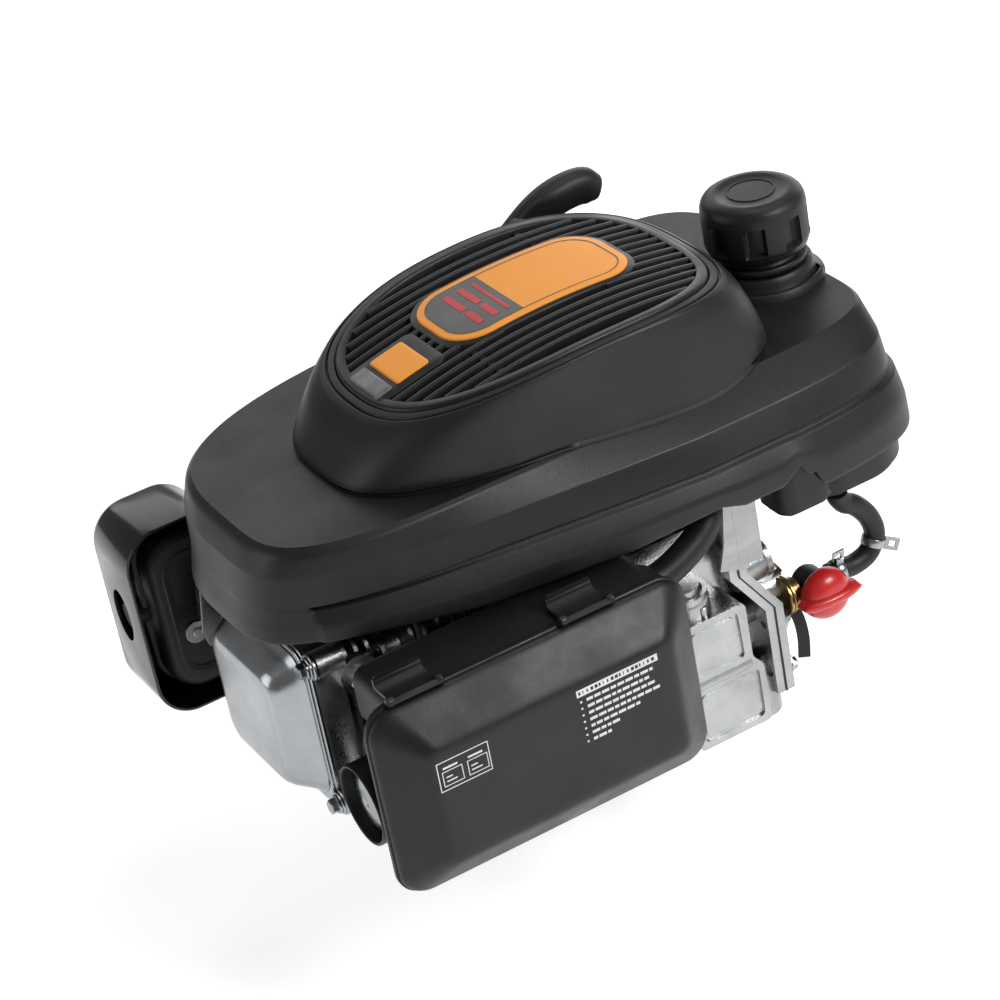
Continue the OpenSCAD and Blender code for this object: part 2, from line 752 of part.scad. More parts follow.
module float_bowl() {
    color([0.78, 0.77, 0.72]) {
        translate([carb_x, -71, carb_z - 24]) rotate([180, 0, 0]) {
            cylinder(h = 16, r = 15.5);
            translate([0, 0, 16]) cylinder(h = 4, r1 = 15.5, r2 = 10);
            translate([0, 0, 20]) cylinder(h = 4, r = 5, $fn = 6);
        }
    }
}

module throttle_lever() {
    color([0.7, 0.68, 0.55]) {
        rod_z(carb_z - 11, 38, carb_x, -65, 2);
        rod_z(carb_z + 22.5, 2, carb_x, -65, 7);
        block([carb_x, carb_x + 18], [-69, -61], [carb_z + 22.5, carb_z + 24.5]);
    }
}

module choke_lever() {
    color([0.7, 0.68, 0.55]) {
        rod_z(carb_z - 11, 42, carb_x, -79, 2);
        rod_z(carb_z + 27, 2, carb_x, -79, 7);
        block([carb_x - 22, carb_x], [-83, -75], [carb_z + 27, carb_z + 29]);
    }
}

module choke_cup() {
    color([0.08, 0.08, 0.08]) difference() {
        rod_x(-194, 18, cup_y, cup_z, cup_r);
        rod_x(-195, 15, cup_y, cup_z, cup_r - 2);
    }
}

module choke_disc() {
    color([0.75, 0.78, 0.8]) translate([-180, cup_y, cup_z]) rotate([0, -90, 0]) {
        cylinder(h = 6, r = cup_r - 4);
        translate([0, 0, 6]) cylinder(h = 3, r1 = cup_r - 4, r2 = 16);
        translate([0, 0, 9]) cylinder(h = 1.5, r1 = 16, r2 = 8);
    }
}

// ---------- air cleaner ----------

module filter_outline(grow) {
    translate([filter_x, filter_z])
        rounded(filter_w + 2*grow, filter_h + 2*grow, max(filter_r + grow, 10));
}

// The tray behind the rim, and the box above it that reaches back to the carburettor
module tray_outline(grow) {
    translate([filter_x + tray_cut/2, filter_z])
        rounded(filter_w - 3 - tray_cut + 2*grow, filter_h - 3 + 2*grow, 14 + grow);
}
module box_outline(grow) {
    translate([-98, 143]) rounded(174 + 2*grow, 36 + 2*grow, 9 + grow);
}

module air_cleaner_base() {
    color([0.08, 0.08, 0.08]) difference() {
        union() {
            along_y(-filter_split, 3) filter_outline(-1.5);
            along_y(-filter_split, filter_split - 109) tray_outline(0);
            along_y(-filter_split, filter_split - filter_back) box_outline(0);
        }
        along_y(-filter_split - 1, filter_split - 111) tray_outline(-3);
        along_y(-filter_split - 1, filter_split - filter_back - 2) box_outline(-3);
        rod_y(-120, 60, carb_x, carb_z, 10);
    }
}

module filter_element() {
    color([0.75, 0.62, 0.35]) along_y(-filter_split + 1, filter_split - 114) tray_outline(-4);
}

module air_cleaner_cover() {
    color([0.07, 0.07, 0.075]) difference() {
        union() {
            along_y(-filter_rim, 8 - GAP) filter_outline(0);
            hull() {
                along_y(-filter_rim - EPS, 1) filter_outline(0, $fn = 32);
                along_y(-filter_rim - 3, 1) filter_outline(-1.5, $fn = 32);
                along_y(-filter_face + 3, 1) filter_outline(-21, $fn = 32);
                along_y(-filter_face, 1) filter_outline(-23, $fn = 32);
            }
        }
        along_y(-filter_rim - 1, 12) filter_outline(-3);
        hull() {
            along_y(-filter_rim, 1) filter_outline(-3, $fn = 32);
            along_y(-filter_face + 3, 1) filter_outline(-24, $fn = 32);
        }
    }
}

module latch(x) {
    top = filter_z + filter_h/2;
    color([0.07, 0.07, 0.075]) {
        block([x - latch_w/2, x + latch_w/2], [-filter_rim + 2, -filter_split + 14],
            [top + GAP, top + 3.5]);
        block([x - latch_w/2, x + latch_w/2], [-filter_split + 10, -filter_split + 14],
            [top + GAP, top + 8]);
        rod_x(x - latch_w/2, latch_w, -filter_rim + 2, top + 2.9, 2.5);
    }
}
module latch_left() { latch(latch_x[0]); }
module latch_right() { latch(latch_x[1]); }

BREATHER = [[-8, -98, 134], [6, -98, 135], [20, -97, 139], [34, -95, 145], [44, -92, 152],
    [49, -87, 157], [50, -80, 159]];
module breather_hose() {
    color([0.09, 0.09, 0.09]) tube_along(smooth(BREATHER, 3), 9, 12);
}

// ---------- exhaust ----------

module guard_outline(grow) {
    translate([guard_x, guard_z]) rounded(guard_w + 2*grow, guard_h + 2*grow, 24 + grow);
}
module muffler_guard() {
    color([0.06, 0.06, 0.06]) difference() {
        along_y(guard_y0, guard_y1 - guard_y0) guard_outline(0);
        along_y(guard_y0 - 1, guard_y1 - guard_y0 - 1) guard_outline(-2);
        rod_x(-240, 12, (guard_y0 + guard_y1)/2, guard_z, 15);
    }
}

module muffler() {
    color([0.1, 0.1, 0.1]) {
        along_y(guard_y0 + 2, guard_y1 - guard_y0 - 8)
            translate([guard_x + 4, guard_z]) rounded(48, 104, 20);
        along_y(guard_y0 + 20, 2) translate([guard_x + 4, guard_z]) rounded(53, 109, 22);
        rod_x(guard_x - 28, 12, (guard_y0 + guard_y1)/2, guard_z, 8);
    }
}

module exhaust_pipe() {
    color([0.55, 0.52, 0.48]) {
        along_y(62, 5) translate([-160, axis_z + valve_gap]) rounded(52, 30, 10);
        intersection() {
            rod_between(pipe_from, pipe_to, 11);
            block([-220, -120], [67, guard_y0 + 1.8], [80, 140]);
        }
    }
}

// ---------- blower housing and covers ----------

module blower_housing() {
    color([0.7, 0.71, 0.72]) {
        difference() {
            union() {
                translate([0, 0, case_top + 8]) linear_extrude(2) translate([-10, 0])
                    rounded(220, 172, 50);
                difference() {
                    rod_z(case_top + 8, 30, 0, 0, 84);
                    rod_z(case_top + 7, 40, 0, 0, 82);
                    block([-120, -70], [-50, 0], [160, 200]);
                }
                // near side arm that holds the cover
                block([62, 78], [-91.5, -89.5], [112, 178]);
                block([62, 78], [-91, -60], [case_top + 8, case_top + 10]);
            }
            rod_z(case_top, 20, 0, 0, 32);
            block([36, 61.5], [-90, -60], [case_top, case_top + 20]);
            for (s = [-1, 1]) rod_z(case_top, 20, -48, s*62, 3);
            for (s = [-1, 1]) rod_z(case_top, 20, 30, s*70, 3);
        }
    }
}

module top_cover() {
    hole = outline(0, dome_x - dome_rx + 14, dome_x + dome_rx - 14, dome_ry - 16, 0.06, 3.2, 96);
    color([0.09, 0.09, 0.095]) difference() {
        union() {
            loft_loop(concat(
                [for (row = COVER_OUT) cover_ring(row, 0)],
                [[for (p = hole) [p[0], p[1], deck_z]], [for (p = hole) [p[0], p[1], deck_z - wall]]],
                [for (i = [len(COVER_OUT) - 1:-1:1]) cover_ring(COVER_OUT[i], wall)],
                [for (r = [COVER_OUT[0]]) cover_outline(skirt_z, r[1] + wall, r[2] - wall,
                    r[3] - wall, r[4], r[5] - wall, r[6], r[7])]));
            rod_z(deck_z - 2, 14, cap_x, cap_y, 30);
        }
        rod_z(deck_z - 30, 60, cap_x, cap_y, 24);
    }
}

// Outline of the tank's lower body, with the lobe beside the cover's opening
module tank_outline(grow) {
    translate([tank_x + 4, 0]) rounded(tank_w + 2*grow, tank_l + 2*grow, 36 + grow);
    translate([110, 16 - tank_l/2]) rounded(40 + 2*grow, 32 + 2*grow, 12 + grow);
}

module fuel_tank() {
    color([0.08, 0.08, 0.08]) difference() {
        union() {
            translate([0, 0, tank_z]) linear_extrude(38) tank_outline(0);
            translate([tank_x, 0, tank_z]) linear_extrude(212 - tank_z) rounded(72, 160, 24);
            translate([0, 0, tank_z - 4]) linear_extrude(6) tank_outline(-3);
            translate([0, 0, tank_z - 8]) linear_extrude(6) tank_outline(-9);
            rod_z(tank_z - 12, 8, spigot_x, tap[1], 4.5);
        }
        translate([0, 0, tank_z + 3]) linear_extrude(32) tank_outline(-3);
        translate([tank_x, 0, tank_z + 6]) linear_extrude(203 - tank_z) rounded(66, 154, 21);
        translate([0, 0, tank_z - 5]) linear_extrude(14) tank_outline(-11);
        rod_z(200, 30, cap_x, cap_y, neck_r + GAP/4);
        rod_z(tank_z - 20, 24, spigot_x, tap[1], 2.5);
    }
}

// Neck of the tank, with the rim that the cap turns over
module filler_neck() {
    color([0.08, 0.08, 0.08]) difference() {
        union() {
            rod_z(neck_z, deck_z + 28 - neck_z, cap_x, cap_y, neck_r);
            rod_z(deck_z + 13, 4, cap_x, cap_y, neck_r + 5);
        }
        rod_z(neck_z - 1, 80, cap_x, cap_y, neck_r - 3.5);
    }
}

// Rings of the dome: share of the way from the foot to the edge in plan, and in height
DOME = [[0, 0], [0.05, 0.1], [0.3, 0.55], [0.62, 0.85], [1, 1]];
function mix(a, b, s) = a + (b - a)*s;
function crown(x) = dome_z - crown_r + sqrt(crown_r*crown_r - (x - crown_x)*(x - crown_x));
function dome_plan(s, inset) = shifted(outline(0, mix(dome_x - dome_rx, dome_x - dome_rx + 27, s) + inset,
    mix(dome_x + dome_rx, dome_x + dome_rx - 15, s) - inset, dome_ry - 0.5*s - inset,
    mix(0.1, 0.02, s), mix(3.2, 2.54, s)), dome_y);
function dome_ring(s, rise, inset, drop) = [for (p = dome_plan(s, inset))
    [p[0], p[1], mix(deck_z + GAP, crown(p[0]) - 2, rise) - drop]];
module starter_housing() {
    edge = len(DOME) - 1;
    color([0.1, 0.1, 0.105]) difference() {
        loft_loop(concat(
            [for (r = DOME) dome_ring(r[0], r[1], 0, 0)],
            [dome_ring(1, 1, rim_w, 0), dome_ring(1, 1, rim_w, 7),
                dome_ring(1, 1, rim_w + 4, 7), dome_ring(1, 1, rim_w + 4, 10)],
            [for (i = [edge - 1:-1:1]) dome_ring(DOME[i][0], DOME[i][1], wall, wall)],
            [dome_ring(0, 0, wall, 0)]));
        rod_y(60, 60, rope_x, rope_z, 7);
    }
}

module badge_outline(grow) {
    translate([9, 13]) rounded(122 + 2*grow, 66 + 2*grow, 26 + grow);
}

// A layer of the crown from one height above its face to another, cut to its 2D children
module crown_layer(low, high) {
    intersection() {
        translate([0, 0, dome_z - 60]) linear_extrude(80) children();
        difference() {
            rod_y(-120, 240, crown_x, dome_z - crown_r, crown_r + high, $fn = 360);
            rod_y(-121, 242, crown_x, dome_z - crown_r, crown_r + low, $fn = 360);
        }
    }
}

module grille_outline(inset) {
    polygon([for (p = dome_plan(1, inset)) [p[0], p[1]]]);
}

module grille() {
    color([0.07, 0.07, 0.075]) {
        crown_layer(-8, 0) difference() {
            grille_outline(rim_w + GAP);
            difference() {
                intersection() {
                    grille_outline(rim_w + 7);
                    for (y = [-76:9:96]) translate([-120, y]) square([240, 5]);
                }
                badge_outline(4);
                translate([-97, -24]) square([38, 40]);
                for (x = [-46, 90]) translate([x - 2, -90]) square([4, 190]);
            }
        }
        // post that the starter pulley turns on
        rod_z(236, crown(0) - 244, 0, 0, 9);
    }
}

module badges() {
    color([0.95, 0.55, 0.15]) {
        crown_layer(0.02, 1.5) badge_outline(0);
        crown_layer(0.02, 1.2) translate([-80, -10]) rounded(22, 34, 3);
    }
    color([0.6, 0.6, 0.62]) crown_layer(0.02, 1) translate([-100, -24]) rounded(10, 34, 3);
}

// ---------- fuel system ----------

HOSE = [[138, -82, 124], [138.4, -82, 121.5], [142, -82, 116], [149, -82, 111],
    [157, -82, 100], [160, -82, 87], [154, -82, 76], [143, -82, 72.5], [134, -82, 73.5],
    [124.8, -82, 74]];
module fuel_hose() {
    color([0.08, 0.08, 0.08]) tube_along(smooth(HOSE, 3), hose_d/2, 12);
}

module clamp_ring(r) {
    difference() {
        cylinder(h = 4, r = r + 1.2, center = true);
        cylinder(h = 6, r = r, center = true);
    }
    translate([r + 1, -2.5, -2]) cube([9, 5, 1.5]);
}
module hose_clamps() {
    color([0.6, 0.6, 0.58]) {
        translate([158.5, -82, 82]) rotate([0, 27, 0]) clamp_ring(hose_d/2 + 0.5);
        translate([132, -82, 73.6]) rotate([0, 90, 0]) clamp_ring(hose_d/2 + 0.5);
    }
}

module fuel_tap() {
    color([0.72, 0.55, 0.3]) {
        difference() {
            union() {
                rod_x(tap[0] - 16, 28, tap[1], tap[2], 5);
                rod_y(tap[1] - 12, 20, tap[0], tap[2], 10);
                translate([tap[0] - 15, tap[1], tap[2]]) rotate([0, 90, 0])
                    cylinder(h = 5, r = 9, $fn = 6);
            }
            rod_y(tap[1] - 13, 10, tap[0], tap[2], 4 + FIT);
        }
    }
}

module tap_knob() {
    color([0.8, 0.13, 0.12]) translate([tap[0], tap[1] - 12 - GAP, tap[2]]) rotate([90, 0, 0]) {
        translate([0, 0, -6]) cylinder(h = 7, r = 4);
        cylinder(h = 6, r = 16);
        translate([0, 0, 6]) cylinder(h = 5, r1 = 16, r2 = 12);
        translate([-19, -3, 4]) cube([38, 6, 11]);
    }
}

module control_plate() {
    color([0.72, 0.73, 0.74]) {
        block([-118, -66], [-84, -62], [134, 136]);
        block([-118, -66], [-64, -62], [120, 136]);
        block([-80, -66], [-64, -54 - GAP/2], [134, 136]);
        rod_z(136, 6, -90, -74, 5);
    }
}

// ---------- recoil starter ----------

module starter_pulley() {
    color([0.9, 0.9, 0.86]) difference() {
        rotate_extrude() polygon([[9 + FIT, 240], [52, 240], [52, 243], [46, 245], [46, 252],
            [52, 254], [52, 257], [9 + FIT, 257]]);
        for (a = [0:60:300]) rotate([0, 0, a]) rod_z(239, 20, 26, 0, 7);
    }
}

module starter_rope() {
    color([0.85, 0.85, 0.82]) tube_along(smooth([[48, 8, 248.5], [52, 30, 252], [57, 56, 258],
        [60, 82, 262], [60, 102.8, 262]], 3), 2, 8);
}

module starter_handle() {
    color([0.09, 0.09, 0.09]) translate([rope_x, rope_end, rope_z]) {
        rod_y(0, 10, 0, 0, 9);
        hull() {
            translate([-24, 11, -11]) sphere(8, $fn = 24);
            translate([46, 12, 8]) sphere(10, $fn = 24);
            translate([60, 12, 2]) sphere(7, $fn = 24);
            translate([0, 8, 0]) sphere(8, $fn = 24);
        }
    }
}

// ---------- pieces that lift out ----------

module cap_seal() {
    color([0.1, 0.1, 0.1]) difference() {
        rod_z(deck_z + 28 + GAP, 2, cap_x, cap_y, 24);
        rod_z(deck_z + 27, 5, cap_x, cap_y, 18);
    }
}

module fuel_cap() {
    cap_r = cap_d/2;
    z0 = deck_z + 22;
    color([0.07, 0.07, 0.07]) difference() {
        union() {
            rod_z(z0, 32, cap_x, cap_y, cap_r - 2);
            for (a = [0:45:315]) translate([cap_x, cap_y, z0]) rotate([0, 0, a])
                block([cap_r - 6, cap_r], [-6, 6], [4, 28]);
            translate([cap_x, cap_y, z0 + 32]) cylinder(h = 3, r1 = cap_r - 2, r2 = cap_r - 6);
        }
        rod_z(z0 - 1, 9.5 + GAP, cap_x, cap_y, 25);
    }
}

module dipstick() {
    color([0.08, 0.08, 0.08]) {
        dipstick_axis() {
            translate([0, 0, 24 + GAP]) cylinder(h = 7, r = 12.5);
            translate([0, 0, 14]) cylinder(h = 12, r = 7.4);
            translate([0, 0, -30]) cylinder(h = 46, r = 2);
            translate([-9, -3, 31]) cube([18, 6, 10]);
        }
    }
}

crankcase();
end_cover();
sump();
gaskets();
flange_bolts();
main_bearings();
crank_throw();
connecting_rod();
piston();
cylinder_head();
rocker_cover();
spark_plug();
plug_boot();
ignition_lead();
ignition_coil();
carburettor();
float_bowl();
choke_cup();
choke_disc();
air_cleaner_base();
filter_element();
air_cleaner_cover();
latch_left();
latch_right();
breather_hose();
muffler();
muffler_guard();
exhaust_pipe();
blower_housing();
top_cover();
fuel_tank();
filler_neck();
starter_housing();
grille();
badges();
fuel_hose();
hose_clamps();
fuel_tap();
tap_knob();
control_plate();
throttle_lever();
choke_lever();
starter_rope();
starter_handle();
starter_pulley();
crankshaft();
flywheel();
cooling_fan();
starter_cup();
camshaft();
intake_rocker();
exhaust_rocker();
intake_valve();
exhaust_valve();
intake_pushrod();
exhaust_pushrod();
valve_springs();
cap_seal();
fuel_cap();
dipstick();
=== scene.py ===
import json
import math

import bmesh
import bpy
from mathutils import Matrix, Vector

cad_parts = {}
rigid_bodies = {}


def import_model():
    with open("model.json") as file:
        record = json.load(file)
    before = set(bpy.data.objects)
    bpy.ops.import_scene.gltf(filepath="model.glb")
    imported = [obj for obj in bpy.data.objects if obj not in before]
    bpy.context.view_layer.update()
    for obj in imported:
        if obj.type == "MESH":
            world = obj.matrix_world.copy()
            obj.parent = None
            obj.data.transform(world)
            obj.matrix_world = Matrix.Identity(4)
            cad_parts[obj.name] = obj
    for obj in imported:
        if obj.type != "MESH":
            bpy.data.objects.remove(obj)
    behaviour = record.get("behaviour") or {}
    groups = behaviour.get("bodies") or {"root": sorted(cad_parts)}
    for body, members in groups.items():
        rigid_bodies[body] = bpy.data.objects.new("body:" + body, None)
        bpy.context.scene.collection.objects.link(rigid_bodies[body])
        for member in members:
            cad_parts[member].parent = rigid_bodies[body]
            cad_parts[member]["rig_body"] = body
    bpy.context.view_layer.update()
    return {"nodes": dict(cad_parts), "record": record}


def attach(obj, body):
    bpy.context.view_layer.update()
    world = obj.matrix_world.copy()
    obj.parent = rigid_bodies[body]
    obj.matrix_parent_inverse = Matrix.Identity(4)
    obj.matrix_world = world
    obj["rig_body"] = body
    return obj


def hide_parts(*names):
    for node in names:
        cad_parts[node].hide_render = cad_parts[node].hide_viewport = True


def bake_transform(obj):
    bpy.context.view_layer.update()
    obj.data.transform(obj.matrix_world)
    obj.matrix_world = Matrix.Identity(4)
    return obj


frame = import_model()
MM = 0.001

# ---------------------------------------------------------------- materials


def put(node, values):
    """Sets a shader node's inputs by name."""
    for key, value in values.items():
        node.inputs[key].default_value = value


def material(name, colour, rough, metal=0.0, grain=0.1, grain_scale=900.0, mottle=0.12, mottle_scale=14.0,
        rough_range=0.08, coat=0.0, stretch=(1, 1, 1), dirt=None):
    """A finish with fine grain, cloudy tone and uneven gloss, all from noise in the object's own frame."""
    m = bpy.data.materials.new(name)
    m.use_nodes = True
    nodes, links = m.node_tree.nodes, m.node_tree.links
    shader = nodes["Principled BSDF"]
    put(shader, {"Metallic": metal, "Coat Weight": coat, "Coat Roughness": 0.12,
        "Specular IOR Level": 0.36 if max(colour) < 0.02 else 0.5})
    where = nodes.new("ShaderNodeTexCoord")
    scaled = nodes.new("ShaderNodeMapping")
    put(scaled, {"Scale": stretch})
    links.new(where.outputs["Object"], scaled.inputs["Vector"])

    def noise(scale, detail):
        n = nodes.new("ShaderNodeTexNoise")
        put(n, {"Scale": scale, "Detail": detail, "Roughness": 0.6})
        links.new(scaled.outputs["Vector"], n.inputs["Vector"])
        return n.outputs["Fac"]

    ramp = nodes.new("ShaderNodeValToRGB")
    dark = [c * (1 - mottle) for c in colour] if dirt is None else list(dirt)
    light = [min(1, c * (1 + mottle)) for c in colour]
    for stop, position, tone in zip(ramp.color_ramp.elements, (0.33, 0.66), (dark, light)):
        stop.position = position
        stop.color = (*tone, 1)
    links.new(noise(mottle_scale, 5), ramp.inputs["Fac"])
    links.new(ramp.outputs["Color"], shader.inputs["Base Color"])
    spread = nodes.new("ShaderNodeMapRange")
    put(spread, {"From Min": 0.3, "From Max": 0.7, "To Min": max(0.03, rough - rough_range),
        "To Max": min(1, rough + rough_range)})
    links.new(noise(mottle_scale * 2.3, 6), spread.inputs["Value"])
    links.new(spread.outputs["Result"], shader.inputs["Roughness"])
    bump = nodes.new("ShaderNodeBump")
    put(bump, {"Strength": grain, "Distance": 0.0005})
    links.new(noise(grain_scale, 3), bump.inputs["Height"])
    links.new(bump.outputs["Normal"], shader.inputs["Normal"])
    return m


COVER = material("cover_black", (0.0115, 0.0115, 0.012), 0.40, grain=0.22, grain_scale=1500, mottle=0.14,
    mottle_scale=11)
PLASTIC = material("plastic_black", (0.0105, 0.0105, 0.011), 0.42, grain=0.16, grain_scale=1300, mottle=0.16)
RIB = material("rib_black", (0.0095, 0.0095, 0.010), 0.36, grain=0.12, grain_scale=1400)
RUBBER = material("rubber_black", (0.011, 0.011, 0.0115), 0.46, grain=0.2, grain_scale=700, mottle=0.2)
GLOSS = material("enamel_black", (0.008, 0.008, 0.0085), 0.2, grain=0.05, grain_scale=320, coat=0.35)
HEAT = material("heat_black", (0.010, 0.0098, 0.0095), 0.5, grain=0.35, grain_scale=900)
CAST = material("cast_aluminium", (0.37, 0.375, 0.38), 0.31, metal=1.0, grain=0.5, grain_scale=620,
    mottle=0.16, mottle_scale=24, rough_range=0.1)
MACHINED = material("machined_steel", (0.62, 0.63, 0.65), 0.26, metal=1.0, grain=0.12, grain_scale=500,
    stretch=(1, 1, 9))
ZINC = material("zinc_plate", (0.36, 0.38, 0.40), 0.24, metal=1.0, grain=0.16, grain_scale=420, mottle=0.1)
PRESSED = material("pressed_silver", (0.38, 0.395, 0.41), 0.26, metal=1.0, grain=0.16, grain_scale=500,
    mottle=0.1, mottle_scale=18)
SHEET = material("sheet_steel", (0.32, 0.323, 0.327), 0.28, metal=1.0, grain=0.2, grain_scale=380,
    stretch=(1, 1, 5))
BOWL = material("yellow_zinc", (0.66, 0.60, 0.44), 0.3, metal=1.0, grain=0.12, grain_scale=420)
IRON = material("cast_iron", (0.16, 0.165, 0.17), 0.5, metal=0.9, grain=0.5, grain_scale=520)
TINTED = material("exhaust_steel", (0.14, 0.12, 0.10), 0.42, metal=1.0, grain=0.3, grain_scale=400,
    mottle=0.3, dirt=(0.07, 0.06, 0.055))
BRONZE = material("bearing_bronze", (0.62, 0.47, 0.25), 0.3, metal=1.0, grain=0.2, grain_scale=500)
BRASS = material("tap_brass", (0.36, 0.25, 0.10), 0.3, metal=1.0, grain=0.2, grain_scale=500, mottle=0.2)
RED = material("tap_red", (0.55, 0.014, 0.014), 0.3, grain=0.08, grain_scale=700, mottle=0.1, coat=0.3)
ORANGE = material("badge_orange", (1.0, 0.36, 0.035), 0.5, grain=0.03, grain_scale=700, mottle=0.05,
    mottle_scale=6, rough_range=0.04)
SILVER = material("badge_silver", (0.16, 0.163, 0.168), 0.34, metal=0.4, grain=0.2, grain_scale=800,
    mottle=0.3, mottle_scale=60)
DARK = material("badge_dark", (0.020, 0.018, 0.018), 0.3, grain=0.05, grain_scale=800, coat=0.3)
MARK_RED = material("badge_red", (0.55, 0.012, 0.016), 0.35, grain=0.05, grain_scale=800, mottle=0.06)
PRINT = material("print_white", (0.72, 0.72, 0.71), 0.55, grain=0.08, grain_scale=900, mottle=0.1)
NYLON = material("pulley_nylon", (0.62, 0.62, 0.58), 0.45, grain=0.1, grain_scale=700)
ROPE = material("starter_rope", (0.55, 0.55, 0.52), 0.85, grain=0.9, grain_scale=900, mottle=0.35,
    mottle_scale=420)
FIBRE = material("gasket_fibre", (0.07, 0.085, 0.08), 0.75, grain=0.5, grain_scale=900)
CERAMIC = material("plug_ceramic", (0.80, 0.80, 0.78), 0.22, grain=0.05, grain_scale=500, coat=0.3)
FOAM = material("filter_foam", (0.30, 0.22, 0.07), 0.95, grain=1.0, grain_scale=560, mottle=0.4,
    mottle_scale=200)

# Every CAD node starts with the finish of its material slot
FINISH = {
    "cast_aluminium": CAST, "rocker_steel": PRESSED, "zinc_steel": ZINC, "sheet_steel": SHEET,
    "machined_steel": MACHINED, "forged_aluminium": MACHINED, "carburettor_alloy": CAST,
    "bowl_steel": BOWL, "flywheel_iron": IRON, "black_cover": COVER, "black_plastic": PLASTIC,
    "black_rubber": RUBBER, "black_enamel": GLOSS, "muffler_enamel": HEAT, "exhaust_steel": TINTED,
    "bearing_bronze": BRONZE, "tap_brass": BRASS, "lever_steel": BOWL, "tap_red": RED,
    "badge_orange": ORANGE, "pulley_nylon": NYLON, "rope": ROPE, "gasket": FIBRE,
    "plug_ceramic": CERAMIC, "filter_foam": FOAM,
}
# A table from each finish to the material slot it stands for
LOOSE_SLOT = {finish.name: slot for slot, finish in reversed(FINISH.items())}
for finish, like in ((RIB, PLASTIC), (PRINT, PLASTIC), (SILVER, ORANGE), (DARK, ORANGE), (MARK_RED, ORANGE)):
    LOOSE_SLOT[finish.name] = LOOSE_SLOT[like.name]
SLOT_OF = {s["node"]: s["material_slot"] for s in frame["record"]["subparts"]}
BODY_OF = {n: o["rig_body"] for n, o in frame["nodes"].items()}
for node, cad in frame["nodes"].items():
    cad.data.materials.clear()
    cad.data.materials.append(FINISH[SLOT_OF[node]])

# ---------------------------------------------------------------- shape helpers


def rise(v, p):
    return math.copysign(abs(v) ** p, v)


def spin(points, axis):
    """Points drawn with their own z along the given axis."""
    if axis == "x":
        return [(p[2], p[0], p[1]) for p in points]
    if axis == "y":
        return [(p[0], p[2], p[1]) for p in points]
    return [tuple(p) for p in points]


def moved(part, by):
    return [tuple(a + b for a, b in zip(p, by)) for p in part[0]], part[1]


def turned(part, matrix):
    return [tuple(matrix @ Vector(p)) for p in part[0]], part[1]


def merged(parts):
    verts, faces = [], []
    for v, f in parts:
        base = len(verts)
        verts += list(v)
        faces += [tuple(i + base for i in face) for face in f]
    return verts, faces


def loft(rings, loop=False):
    """Faces between rings of equal point counts, in millimetres; an open stack gets end caps."""
    n = len(rings[0])
    m = len(rings)
    verts = [p for ring in rings for p in ring]
    faces = []
    for k in range(m if loop else m - 1):
        a, b = k * n, ((k + 1) % m) * n
        for i in range(n):
            j = (i + 1) % n
            faces.append((a + i, a + j, b + j, b + i))
    if not loop:
        faces.append(tuple(range(n - 1, -1, -1)))
        faces.append(tuple((m - 1) * n + i for i in range(n)))
    return verts, faces


def oblong(w, h, r, steps=8):
    """A rounded rectangle about the origin, as 2D points."""
    out = []
    for i, (sx, sy) in enumerate(((1, 1), (-1, 1), (-1, -1), (1, -1))):
        for k in range(steps + 1):
            a = math.radians(90 * i + 90 * k / steps)
            out.append((sx * (w / 2 - r) + r * math.cos(a), sy * (h / 2 - r) + r * math.sin(a)))
    return out


def around(steps, start=0.0):
    """The cosine and sine of equal steps round a circle."""
    angles = [2 * math.pi * k / steps + start for k in range(steps)]
    return [(math.cos(a), math.sin(a)) for a in angles]


def round_ring(r, steps=48, start=0.0):
    return [(r * c, r * s) for c, s in around(steps, start)]


def soften(rows, reach, steps=4):
    """Rounds each inner corner of a chain of number rows, up to its reach from it."""
    out = [tuple(rows[0])]
    for i in range(1, len(rows) - 1):
        a, b, c = (Vector(rows[i + d]) for d in (-1, 0, 1))
        near, far = (a - b).length, (c - b).length
        if near < 1e-6 or far < 1e-6:
            out.append(tuple(b))
            continue
        p = b + (a - b) * min(0.5, reach[i] / near)
        q = b + (c - b) * min(0.5, reach[i] / far)
        for k in range(steps + 1):
            s = k / steps
            out.append(tuple(p * (1 - s) ** 2 + b * 2 * s * (1 - s) + q * s * s))
    out.append(tuple(rows[-1]))
    return out


def lathe(profile, axis="z", centre=(0, 0, 0), steps=48):
    """A turned shape from (radius, height) pairs; a radius of 0 closes an end."""
    circle = around(steps)
    rings = [spin([(r * c, r * s, z) for c, s in circle], axis) for r, z in profile]
    return moved(loft(rings), centre)


def slab(outline, z0, z1, axis="z", centre=(0, 0, 0)):
    rings = [spin([(x, y, z) for x, y in outline], axis) for z in (z0, z1)]
    return moved(loft(rings), centre)


def pillow(outline_at, levels, axis="z", centre=(0, 0, 0)):
    """A stack of outlines: outline_at(inset) at each (inset, height)."""
    rings = [spin([(x, y, z) for x, y in outline_at(i)], axis) for i, z in levels]
    return moved(loft(rings), centre)


def box(x, y, z):
    v = [(a, b, c) for a in x for b in y for c in z]
    return v, [(0, 1, 3, 2), (4, 6, 7, 5), (0, 4, 5, 1), (2, 3, 7, 6), (0, 2, 6, 4), (1, 5, 7, 3)]


def spline(points, steps):
    out = []
    n = len(points) - 1
    for i in range(n):
        a, b, c, d = (Vector(points[j]) for j in (max(i - 1, 0), i, i + 1, min(i + 2, n)))
        for k in range(steps):
            s = k / steps
            out.append(0.5 * (2 * b + (c - a) * s + (2 * a - 5 * b + 4 * c - d) * s * s
                + (3 * b - a - 3 * c + d) * s ** 3))
    out.append(Vector(points[-1]))
    return out


